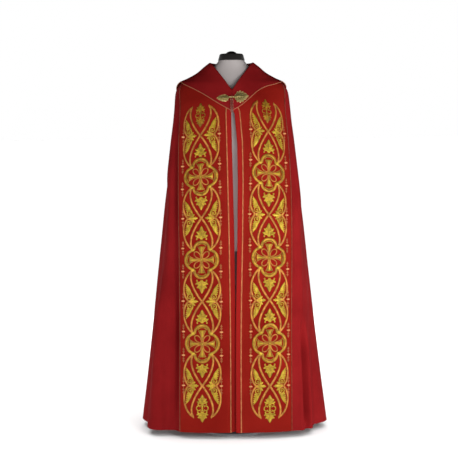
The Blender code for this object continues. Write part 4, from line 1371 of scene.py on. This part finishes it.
def build_embroidery(label, side):
    """Repeats the flat cell up the orphrey, adds the flowers and ends, and lays every thread on the cloth."""
    crossings = CROSSINGS[side]
    ways = np.array([-0.5, *range(REPEATS + 1), REPEATS + 0.5]) * REPEAT * MM
    rises = [crossings[0] - BAND_BELOW, *crossings, crossings[-1] + BAND_ABOVE]
    heights, axes = zip(*AXES[side])

    def laid(flat):
        z = np.interp(flat[:, 1], ways, rises)
        across = flat[:, 0] * np.where(flat[:, 0] < 0, 1 - np.interp(z, PINCH_HEIGHTS, PINCH[side]), 1)
        across += np.interp(z, heights, axes)
        z += np.interp(z, PINCH_HEIGHTS, RISE) - flat[:, 0] * np.interp(z, LEAN_HEIGHTS, LEAN[side])
        return DRAPES[side].lay_on_orphrey(np.column_stack([across, z, flat[:, 2] + 0.0001]))

    for thread, finish in THREADS.items():
        name = f"embroidery_{thread}_{label}"
        points, faces, uv = CELL.parts(thread)
        motif = helper_object(name + "_cell", points, faces=faces, uv=uv)
        step = (0.0, REPEAT * MM, 0.0)
        mesh = plain_mesh(name, ROW_TREE, {"Motif": motif, "Count": REPEATS, "Step": step, "Finish": finish})
        band = piece_of(name, mesh, laid(mesh_points(mesh)), finish, turn=side == LEFT)
        points, faces, uv = LOOSE.parts(thread)
        rest = make_piece(name + "_ends", laid(points), faces, finish, "braid", uv, tidy=False)
        if side == LEFT:
            rest.data.flip_normals()
        joined(name, [band, rest])
    spots = laid(np.array([(u * MM, v * MM, BEAD_LIFT) for u, v in BEADS]))
    places = helper_object(f"bead_places_{label}", spots)
    values = {"Places": places, "Radius": BEAD_RADIUS, "Stretch": BEAD_STRETCH, "Finish": BEAD_GLASS}
    mesh = plain_mesh(f"beads_{label}", BEADS_TREE, values)
    piece_of(f"border_beads_{label}", mesh, mesh_points(mesh), BEAD_GLASS)


# ---------------------------------------------------------------------------------------- braid and piping
BRAID_HALF = 0.0022
BRAID_THICKNESS = 0.0009
BRAID_LIFT = 0.0012  # its outer face above the cloth
BRAID_START = SHOULDER + 0.12  # in rings from the neckline
BRAID_SAMPLES, BRAID_ROWS = 900, 420
PLAIT_STEP = 0.0030
PIPING_CORNERS = 12  # round its section
PIPING_LAY = 0.012  # one full turn of the strands


def build_braid(name, side, outer):
    """A line of flat plaited braid sewn on along the front border or over the orphrey's seam."""
    plait = Stitching()
    narrow = 0.6 if outer else 1.0
    for sign in (narrow, -narrow):
        start, end, lift = (sign * 2.1, -1.4), (-sign * 0.7, 2.2), 0.2 + 0.15 * sign
        plait.leaf("copper", start, end, 2.4, bend=0.1 * sign, steps=4, height=1.0, lift=lift)
    points, faces, uv = plait.parts("copper")
    motif = helper_object(name + "_plait", points, faces=faces, uv=uv)
    # The braid over the seam takes the darker copy, whose colour is painted shade
    finish = SHADED_SEAM_BRAID if outer else LINE_BRAID
    drape = DRAPES[side]
    t = np.linspace(BRAID_START, HEM, BRAID_SAMPLES)
    arc = drape.seam(t) if outer else drape.edge(t) + BORDER_WIDTH
    line = drape.point(arc, t)
    way = np.concatenate([[0], np.cumsum(np.linalg.norm(np.diff(line, axis=0), axis=1))])
    count = int(way[-1] / PLAIT_STEP) - 1
    values = {"Motif": motif, "Count": count, "Step": (0.0, PLAIT_STEP, 0.0), "Finish": finish}
    mesh = plain_mesh(name, ROW_TREE, values)
    flat = mesh_points(mesh)
    at = np.interp(flat[:, 1] + 0.002, way, t)
    across = np.interp(at, t, arc) + flat[:, 0]
    laid = drape.point(across, at) + drape.normal(across, at) * (flat[:, 2:3] + BRAID_THICKNESS)
    plaits = piece_of(name + "_plaits", mesh, laid, finish, turn=side == RIGHT)
    rows = np.interp(np.linspace(0, way[-1], BRAID_ROWS), way, t)[:, None]
    spread = np.array([-1.0, 0.0, 1.0])[None, :] * BRAID_HALF * narrow
    base_arc = np.interp(rows, t, arc) + spread
    points, normals = drape.point(base_arc, rows), drape.normal(base_arc, rows)
    uv = measured(points)[..., ::-1]
    base = cloth_shell(name + "_base", points, normals, BRAID_LIFT, BRAID_THICKNESS, (finish, "braid"), uv)
    piece = joined(f"cope_{name}", [base, plaits])
    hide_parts(name)
    return piece


def build_piping(points, normals):
    """The laid cord along the collar's outer edge."""
    edge, inner, out = points[-1], points[-2], normals[-1]
    along = np.gradient(edge, axis=0)
    outward = np.cross(out, along)
    outward /= np.linalg.norm(outward, axis=1, keepdims=True)
    sign = np.sign(np.sum(outward * (edge - inner), axis=1, keepdims=True))
    path = edge - out * COLLAR_CLOTH / 2 + outward * sign * (PIPING_RADIUS + SEAM_GAP * 2)
    steps = np.arange(len(path) - 1)
    line = helper_object("piping_path", path, edges=np.column_stack([steps, steps + 1]))
    angle = np.linspace(0, math.tau, PIPING_CORNERS, endpoint=False)
    reach = PIPING_RADIUS * (0.80 + 0.24 * np.abs(np.cos(angle)) ** 1.5)
    section_points = np.column_stack([reach * np.cos(angle), reach * np.sin(angle), 0 * angle])
    loop = np.arange(PIPING_CORNERS)
    loop = np.column_stack([loop, np.roll(loop, -1)])
    section = helper_object("piping_section", section_points, edges=loop)
    values = {"Path": line, "Section": section, "Step": 0.0016, "Lay": PIPING_LAY, "Finish": CORD_FINISH}
    mesh = plain_mesh("cope_piping", CORD_TREE, values)
    mesh.shade_smooth()
    piece = piece_of("cope_piping", mesh, mesh_points(mesh), CORD_FINISH)
    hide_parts("collar_piping")
    return piece


# ---------------------------------------------------------------------------------------- the clasp
CLASP_HEIGHT = 1.463
LEAF_PLATE = 0.0018
LEAF_GAP = 0.0006
LEAF_RIM_WIRE = 0.00105
LEAF_DOME = 0.0022
LEAF_VEINS = 7  # on each side of the midrib
LEAF_GRAINS = 20
GRAIN_RADIUS = 0.0009
STEM_RISE = 0.0042
EYE_INSET = 0.0062
STEM_LENGTH = 0.006
STEM_HALF = 0.0022
WIRE = 0.0011
LINK_HALF = 0.0070
LINK_WIDTH = 0.0026
LINK_GAP = 0.0004
LINK_CORNERS = 9  # round each end
LINKS = 5
STRANDS = {"left": -0.0035, "right": 0.0045}
DROP_RING_RADIUS = 0.0065
DROP_RING_HANG = 0.0040
BAR_HALF = 0.0105
CHAIN_LENGTH = 0.070
CHAIN_CHECKS = 14  # heights at which the chain is kept clear of the chest


class Leaf(NamedTuple):
    """A leaf-shaped plate with its stem at the front opening and its tip pointing sideways."""

    length: float
    width: float
    lobes: int
    lobe_depth: float
    tilt: float
    low: float


LEAVES = {
    LEFT: Leaf(length=0.051, width=0.029, lobes=0, lobe_depth=0.0, tilt=0.00, low=0.0040),
    RIGHT: Leaf(length=0.060, width=0.045, lobes=5, lobe_depth=0.12, tilt=0.16, low=0.0),
}


def collar_depth(x, z):
    """The Y of the collar's outer face at the front, x from the middle at height z."""
    x, step = np.abs(x), 0.004
    fall = (front_depth(x, z - step) - front_depth(x, z + step)) / (2 * step)
    turn = (front_depth(x + step, z) - front_depth(x, z)) / step
    return -front_depth(x, z) - (COLLAR_CLEARANCE + COLLAR_CLOTH) * np.sqrt(1 + fall**2 + turn**2)


def leaf_half_width(leaf, along):
    """Half the leaf's width at a distance from the stem."""
    share = np.clip(along / leaf.length, 0, 1)
    outline = np.sin(math.pi * share**0.72) ** 0.85
    lobes = 1 + leaf.lobe_depth * np.cos(math.tau * leaf.lobes * share)
    return np.maximum(STEM_HALF, leaf.width / 2 * outline * lobes)


def leaf_point(side, along, across, rise):
    """A point of a clasp leaf: along from the stem, across from -1 to 1 of its half width, and rise off its
    face."""
    leaf = LEAVES[side]
    half = np.where(along < 0, STEM_HALF, leaf_half_width(leaf, along))
    half = np.where(along > leaf.length * 0.995, STEM_HALF * 0.3, half)
    x = EYE_INSET + STEM_LENGTH + along
    z = CLASP_HEIGHT + across * half + (x - EYE_INSET) * math.tan(leaf.tilt) * 0.3
    z = z - leaf.low * smooth_step((along + STEM_LENGTH) / 0.012)
    stem_rise = STEM_RISE * (1 - smooth_step(along / (leaf.length * 0.5)))
    dome = LEAF_DOME * (1 - across**2) * smooth_step((half - STEM_HALF) / 0.006)
    depth = collar_depth(x, z) - LEAF_GAP - stem_rise - dome - rise
    return np.stack(np.broadcast_arrays(side * x, depth, z), axis=-1)


def tube(path, radius, sides=6, closed=False):
    """Points and faces of a round tube along a path. radius is one number or one for each point."""
    path = np.asarray(path, float)
    count = len(path)
    if closed:
        along = np.roll(path, -1, axis=0) - np.roll(path, 1, axis=0)
    else:
        along = np.gradient(path, axis=0)
    along /= np.linalg.norm(along, axis=1, keepdims=True)
    across = np.cross(along, np.array([0.0, 1.0, 0.0]))
    weak = np.linalg.norm(across, axis=1) < 0.2
    across[weak] = np.cross(along[weak], np.array([1.0, 0.0, 0.0]))
    across /= np.linalg.norm(across, axis=1, keepdims=True)
    over = np.cross(across, along)
    angle = np.linspace(0, math.tau, sides, endpoint=False)
    reach = np.broadcast_to(np.asarray(radius, float), (count,))[:, None, None]
    ring = across[:, None] * np.cos(angle)[None, :, None] + over[:, None] * np.sin(angle)[None, :, None]
    points = (path[:, None] + ring * reach).reshape(-1, 3)
    if not closed:
        return points, tube_faces(count, sides)
    first, last = np.arange(sides), np.arange(sides) + (count - 1) * sides
    joint = np.stack([last, np.roll(last, -1), np.roll(first, -1), first], axis=-1)
    return points, np.concatenate([grid_faces(count, sides, around=True), joint])


def gathered(name, parts, finish, slot):
    """Several (points, faces) as one piece."""
    points, faces, count = [], [], 0
    for part_points, part_faces in parts:
        points.append(part_points)
        faces += [[int(i) + count for i in face] for face in part_faces]
        count += len(part_points)
    return make_piece(name, np.concatenate(points), faces, finish, slot, sharp=60)


def build_leaf(label, side):
    """One half of the clasp: a thin domed leaf with a raised rim, a midrib, veins and a row of grains."""
    leaf = LEAVES[side]
    along = np.concatenate([[-STEM_LENGTH, -STEM_LENGTH * 0.5], np.linspace(0.0, leaf.length, 60)])[:, None]
    across = np.linspace(-1, 1, 17)[None, :]
    front = leaf_point(side, along, across, 0.0)
    back = leaf_point(side, along, across, -LEAF_PLATE * 0.8)
    rows, columns = front.shape[:2]
    count, rim = rows * columns, rim_of(rows, columns)
    faces = [grid_faces(rows, columns), grid_faces(rows, columns)[:, ::-1] + count]
    faces.append(np.stack([rim, rim + count, np.roll(rim, -1) + count, np.roll(rim, -1)], axis=-1))
    parts = [(np.concatenate([front.reshape(-1, 3), back.reshape(-1, 3)]), np.concatenate(faces))]
    way = np.linspace(0.0, leaf.length * 0.985, 70)
    loop = np.concatenate([leaf_point(side, way, 1.0, 0.0), leaf_point(side, way[::-1], -1.0, 0.0)])
    parts.append(tube(loop, LEAF_RIM_WIRE, closed=True))
    midrib = leaf_point(side, np.linspace(-STEM_LENGTH, leaf.length * 0.96, 30), 0.0, 0.0005)
    parts.append(tube(midrib, np.linspace(0.0013, 0.0006, 30)))
    share = np.linspace(0, 1, 12)
    for k in range(LEAF_VEINS):
        root = leaf.length * (0.06 + 0.12 * k)
        for sign in (1, -1):
            vein = leaf_point(side, root + leaf.length * 0.16 * share**0.8, sign * 0.93 * share, 0.0003)
            parts.append(tube(vein, np.linspace(0.00085, 0.0005, 12), 5))
            out = root + leaf.length * (0.12 + 0.035 * np.cos(share * 5.2))
            curl = leaf_point(side, out, sign * (0.52 + 0.17 * np.sin(share * 5.2)), 0.0003)
            parts.append(tube(curl, 0.0005, 5))
    piece = gathered(f"cope_clasp_{label}", parts, BRASS, "clasp")
    grains = np.linspace(0.004, leaf.length * 0.93, LEAF_GRAINS)
    spots = np.concatenate([leaf_point(side, grains, sign * 0.80, 0.0002) for sign in (1, -1)])
    places = helper_object(f"grains_{label}", spots)
    values = {"Places": places, "Radius": GRAIN_RADIUS, "Stretch": (1.0, 1.0, 1.0), "Finish": BRASS}
    mesh = plain_mesh(f"grains_{label}", BEADS_TREE, values)
    beads = piece_of(f"clasp_grains_{label}", mesh, mesh_points(mesh), BRASS)
    piece = joined(f"cope_clasp_{label}", [piece, beads])
    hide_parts(f"clasp_leaf_{label}")
    return piece


def link_loop(half_length, half_width):
    """A flat oval loop: straight sides with half-round ends, its length along the second axis."""
    path = []
    for end in (1, -1):
        angle = math.pi * np.linspace(-0.5, 0.5, LINK_CORNERS)
        along = end * (half_length - half_width + half_width * np.cos(angle))
        path.append(np.column_stack([half_width * np.sin(angle) * end, along]))
    return np.concatenate(path)


def build_chain():
    """The bar between the leaves, two strands of links down the slope of the chest, and the ring below."""
    x_axis = np.array([1.0, 0, 0])
    stem_face = float(collar_depth(0.0, CLASP_HEIGHT)) - LEAF_GAP - STEM_RISE - LEAF_PLATE
    bar_depth = stem_face - 2 * WIRE - 2 * LINK_GAP
    bar_centre = np.array([0, bar_depth, CLASP_HEIGHT])
    slope = 0.0
    for step in range(2, CHAIN_CHECKS + 1):
        drop = CHAIN_LENGTH * step / CHAIN_CHECKS
        chest = float(collar_depth(0.0, CLASP_HEIGHT - drop)) - LINK_WIDTH - 2 * WIRE - LINK_GAP
        slope = min(slope, (chest - bar_depth) / drop)
    down = np.array([0, slope, -1.0]) / math.hypot(slope, 1)
    off_chest = np.cross(down, x_axis)
    bar = link_loop(BAR_HALF, LINK_WIDTH)
    bar_path = bar_centre + bar[:, 1:2] * x_axis + bar[:, 0:1] * down
    piece = gathered("cope_clasp_bar", [tube(bar_path, WIRE, 8, closed=True)], BRASS, "clasp")
    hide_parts("clasp_bar")
    pitch = 2 * LINK_HALF - 2 * WIRE - LINK_GAP
    loop = link_loop(LINK_HALF, LINK_WIDTH)
    loop = np.column_stack([0 * loop[:, 0], loop])
    link_points, link_faces = tube(loop, WIRE, closed=True)
    for label, x in STRANDS.items():
        motif = helper_object(f"link_{label}", link_points, faces=link_faces)
        values = {"Motif": motif, "Count": LINKS, "Step": (0.0, 0.0, -pitch)}
        values |= {"Half Turn": math.pi / 2, "Finish": CHAIN_COPPER}
        mesh = plain_mesh(f"links_{label}", ROW_TREE, values)
        local = mesh_points(mesh)
        top = bar_centre + x_axis * x + down * LINK_HALF
        laid = top + local[:, 0:1] * x_axis + local[:, 1:2] * off_chest - local[:, 2:3] * down
        strand = piece_of(f"cope_chain_{label}", mesh, laid, CHAIN_COPPER)
        fix_normals(strand.data)
        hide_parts(*(f"chain_{label}_{n + 1}" for n in range(LINKS)))
    ring_top = bar_centre + down * (2 * LINK_HALF + (LINKS - 1) * pitch - 2 * WIRE - LINK_GAP)
    centre = ring_top + down * DROP_RING_HANG + x_axis * sum(STRANDS.values()) / 2
    turn = np.linspace(0, math.tau, 40, endpoint=False)[:, None]
    ring = centre + (x_axis * np.cos(turn) + down * np.sin(turn)) * DROP_RING_RADIUS
    piece = gathered("cope_chain_ring", [tube(ring, WIRE, 8, closed=True)], CHAIN_COPPER, "clasp")
    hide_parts("chain_ring")


# ---------------------------------------------------------------------------------------- the dress form
class Section(NamedTuple):
    """A level section of the form: its half width, and its reach in front and behind."""

    height: float
    half_width: float
    front: float
    back: float


FORM = (
    Section(0.800, 0.160, 0.100, 0.108),
    Section(0.815, 0.172, 0.108, 0.118),
    Section(0.880, 0.177, 0.113, 0.122),
    Section(0.960, 0.170, 0.112, 0.114),
    Section(1.040, 0.157, 0.108, 0.100),
    Section(1.120, 0.150, 0.107, 0.092),
    Section(1.200, 0.160, 0.114, 0.098),
    Section(1.290, 0.178, 0.124, 0.110),
    Section(1.370, 0.195, 0.123, 0.116),
    Section(1.440, 0.210, 0.104, 0.116),
    Section(1.485, 0.217, 0.086, 0.108),
    Section(1.512, 0.210, 0.074, 0.102),
    Section(1.530, 0.190, 0.066, 0.096),
    Section(1.552, 0.155, 0.060, 0.086),
    Section(1.572, 0.115, 0.056, 0.074),
    Section(1.590, 0.088, 0.054, 0.065),
    Section(1.604, 0.073, 0.053, 0.060),
    Section(1.616, 0.062, 0.053, 0.057),
    Section(1.625, 0.056, 0.053, 0.055),
)
NECK_TOP = FORM[-1].height
FORM_RADIUS = 0.16  # its mean, for the jersey's UV
CAP_PROFILE = (  # radius, and height above the neck
    (0.0585, 0.0),
    (0.0520, 0.024),
    (0.0490, 0.028),
    (0.0230, 0.031),
    (0.0190, 0.036),
    (0.0080, 0.040),
)
POLE_RADIUS = 0.0175
BASE_RADIUS = 0.165
BASE_THICKNESS = 0.012
BOSS_RADIUS = 0.030
BOSS_HEIGHT = 0.060
CORNER = 0.0015  # how far a turned piece's corners are cut back
TURNED_SIDES = 72


def build_torso():
    """The padded torso under its jersey, with a seam line down the middle of the front and back."""
    at = Section(*(smooth_curve([row.height for row in FORM], column) for column in zip(*FORM)))
    z = np.concatenate([[0.800, 0.802, 0.806], np.linspace(0.812, NECK_TOP, 100)])[:, None]
    angle = np.linspace(0, math.tau, 96, endpoint=False)[None, :]
    reach = np.where(np.sin(angle) < 0, at.front(z), at.back(z))
    seam = 1 - 0.006 * np.exp(-((np.abs(np.cos(angle)) / 0.03) ** 2))
    x, y = at.half_width(z) * np.cos(angle) * seam, reach * np.sin(angle) * seam
    points = np.stack(np.broadcast_arrays(x, y, z), axis=-1).reshape(-1, 3)
    faces = tube_faces(z.shape[0], angle.shape[1])
    uv = np.stack(np.broadcast_arrays(angle * FORM_RADIUS, z), axis=-1).reshape(-1, 2)
    piece = make_piece("dress_form_torso", points, faces, JERSEY, "form_cover", uv)
    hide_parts("form_torso")


def turned(name, profile, finish, slot, node):
    """A turned solid round the form's axis, its profile's corners rounded."""
    profile = [np.array(p, float) for p in profile]
    line = []
    for i, point in enumerate(profile):
        if 0 < i < len(profile) - 1:
            for other in (profile[i - 1], profile[i + 1]):
                way = other - point
                line.append(point + way * min(0.35, CORNER / np.linalg.norm(way)))
        else:
            line.append(point)
    angle = np.linspace(0, math.tau, TURNED_SIDES, endpoint=False)
    points = np.array([[r * math.cos(a), r * math.sin(a), z] for r, z in line for a in angle])
    piece = make_piece(name, points, tube_faces(len(line), TURNED_SIDES), finish, slot, sharp=40)
    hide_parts(node)


def build_stand():
    """The neck cap, the round foot and the pole."""
    cap = [(r, NECK_TOP + SEAM_GAP + up) for r, up in CAP_PROFILE]
    turned("dress_form_neck_cap", cap, CAP_PLASTIC, "neck_cap", "form_neck_cap")
    foot = (
        (BASE_RADIUS, 0.0),
        (BASE_RADIUS, BASE_THICKNESS * 0.7),
        (BASE_RADIUS - 0.006, BASE_THICKNESS),
        (BOSS_RADIUS, BASE_THICKNESS),
        (BOSS_RADIUS * 0.9, BOSS_HEIGHT),
    )
    turned("dress_form_foot", foot, COATED_STEEL, "steel", "stand_base")
    pole = ((POLE_RADIUS, BOSS_HEIGHT + SEAM_GAP), (POLE_RADIUS, FORM[0].height - SEAM_GAP))
    turned("dress_form_pole", pole, COATED_STEEL, "steel", "stand_pole")


# ---------------------------------------------------------------------------------------- room, light, camera
CAMERA_DISTANCE, CAMERA_HEIGHT = 4.75, 1.30
CAMERA_TURN, CAMERA_TILT, CAMERA_ROLL = 0.196, -4.95, -0.45  # degrees
FRAME, FOCAL = 458, 1079  # the picture's width and the lens's focal length, in pixels
SENSOR = 36
FLOOR_REACH = 400
FLOOR_LIGHT = 3.3
# The sky's grey at shares of the way from straight down to straight up: a white haze low round the horizon
SKY = ((0.40, 0.25), (0.48, 1.0), (0.57, 1.0), (0.70, 0.02))
# Softboxes: where each stands off the form's axis, its height, the height it aims at, its size and its power
SOFTBOXES = {
    "near_softbox": ((0.5, -1.6, 0.95), 0.90, (0.6, 0.6), 15),
    "low_softbox": ((0.0, -4.0, 0.30), 0.60, (0.6, 0.6), 26),
    "right_softbox": ((2.2, -1.0, 0.35), 0.50, (0.6, 0.6), 20),
    "left_softbox": ((-1.8, -0.5, 0.25), 0.40, (0.6, 0.6), 9),
    "back_softbox": ((0.0, 3.2, 1.10), 0.85, (1.6, 1.2), 35),
}
FORM_LAMP_DISTANCE, FORM_LAMP_HEIGHT, FORM_LAMP_POWER = 4.5, 1.10, 200


def falls_on(lamp, name, pieces):
    """Keeps a lamp's light to these pieces, and returns their collection."""
    lit = bpy.data.collections.new(name)
    for piece in pieces:
        lit.objects.link(piece)
    lamp.light_linking.receiver_collection = lit
    return lit


def build_room():
    """A white floor out to the horizon under a low haze, and the light that falls on the floor alone."""
    mesh = bpy.data.meshes.new("studio_floor")
    corners = [(x * FLOOR_REACH, y * FLOOR_REACH, 0) for x, y in ((-1, -1), (1, -1), (1, 1), (-1, 1))]
    mesh.from_pydata(corners, [], [(0, 1, 2, 3)])
    white = linear("#f4f4f4")
    finish, _, _ = new_finish("white_floor", Roughness=0.9, Specular_IOR_Level=0.0, Base_Color=white)
    mesh.materials.append(finish)
    floor = placed("studio_floor", mesh)
    floor.visible_diffuse = False  # its glow on the cloth comes from the world's lower half instead
    lamp = bpy.data.lights.new("floor_light", "SUN")
    lamp.energy = FLOOR_LIGHT
    lamp.angle = math.radians(90)
    above = placed("floor_light", lamp)
    above.location = (0, 0, 6)
    falls_on(above, "lit_by_floor_light", [floor])
    world = bpy.data.worlds.new("studio")
    bpy.context.scene.world = world
    world.use_nodes = True
    tree = world.node_tree
    sky = tree.nodes["Background"]
    way = add_node(tree, "ShaderNodeTexCoord")
    split = add_node(tree, "ShaderNodeSeparateXYZ", {"Vector": way.outputs["Generated"]})
    height = add_node(tree, "ShaderNodeMapRange", {"Value": split.outputs["Z"], "From Min": -1.0})
    ramp = add_node(tree, "ShaderNodeValToRGB", {"Fac": height.outputs[0]})
    stops = ramp.color_ramp.elements
    stops[0].position, stops[-1].position = SKY[0][0], SKY[-1][0]
    for place, _ in SKY[1:-1]:
        stops.new(place)
    for stop, (_, grey) in zip(stops, SKY):
        stop.color = (grey, grey, grey, 1)
    tree.links.new(ramp.outputs[0], sky.inputs["Color"])
    sky.inputs["Strength"].default_value = 1.0


def add_softbox(name, place, aim, size, power):
    """A soft area light aimed at the form's axis, out of the camera's sight."""
    lamp = bpy.data.lights.new(name, "AREA")
    lamp.shape = "RECTANGLE"
    lamp.size, lamp.size_y = size
    lamp.energy = power
    made = placed(name, lamp)
    made.location = (MIDDLE.x + place[0], MIDDLE.y + place[1], place[2])
    way = Vector((MIDDLE.x, MIDDLE.y, aim)) - Vector(made.location)
    made.rotation_euler = way.to_track_quat("-Z", "Y").to_euler()
    made.visible_camera = False


def add_form_lamp(pieces):
    """A narrow lamp level with the waist that falls on the dress form alone, seen through the opening."""
    lamp = bpy.data.lights.new("form_lamp", "SPOT")
    lamp.energy = FORM_LAMP_POWER
    lamp.spot_size, lamp.spot_blend, lamp.shadow_soft_size = math.radians(11), 0.6, 0.1
    lamp.color = (1.0, 0.75, 0.77)
    made = placed("form_lamp", lamp)
    made.location = (MIDDLE.x, MIDDLE.y - FORM_LAMP_DISTANCE, FORM_LAMP_HEIGHT)
    made.rotation_euler = (Vector((0, 1, -0.03))).to_track_quat("-Z", "Y").to_euler()
    made.light_linking.blocker_collection = falls_on(made, "lit_by_form_lamp", pieces)


def add_camera():
    """Level with the chest, looking slightly down, in front of the form's axis."""
    lens = bpy.data.cameras.new("camera")
    lens.sensor_width = SENSOR
    lens.lens = SENSOR * FOCAL / FRAME
    made = placed("camera", lens)
    turn = Matrix.Rotation(math.radians(CAMERA_TURN), 4, "Z")
    turn = turn @ Matrix.Rotation(math.radians(90 + CAMERA_TILT), 4, "X")
    place = Matrix.Translation((MIDDLE.x, MIDDLE.y - CAMERA_DISTANCE, CAMERA_HEIGHT))
    made.matrix_world = place @ turn @ Matrix.Rotation(math.radians(CAMERA_ROLL), 4, "Z")
    bpy.context.scene.camera = made


# ---------------------------------------------------------------------------------------- everything
add_camera()
build_room()
for name, values in SOFTBOXES.items():
    add_softbox(name, *values)
bpy.context.scene.view_settings.view_transform = "Standard"

bodies = {label: build_body(label, side) for label, side in SIDES.items()}
orphreys = {label: build_orphrey(label, side) for label, side in SIDES.items()}
collar, collar_points, collar_normals = build_collar()
piping = build_piping(collar_points, collar_normals)
for label, side in SIDES.items():
    build_braid(f"braid_inner_{label}", side, outer=False)
    build_braid(f"braid_outer_{label}", side, outer=True)
    build_embroidery(label, side)
    build_leaf(label, side)
build_chain()
build_torso()
build_stand()
add_form_lamp([bpy.data.objects["dress_form_torso"], bpy.data.objects["dress_form_pole"]])

for label in SIDES:
    sewn = [f"embroidery_{thread}_{label}" for thread in THREADS] + [f"border_beads_{label}"]
    sewn += [f"cope_braid_inner_{label}", f"cope_braid_outer_{label}"]
    sewn = [bpy.data.objects[name] for name in sewn]
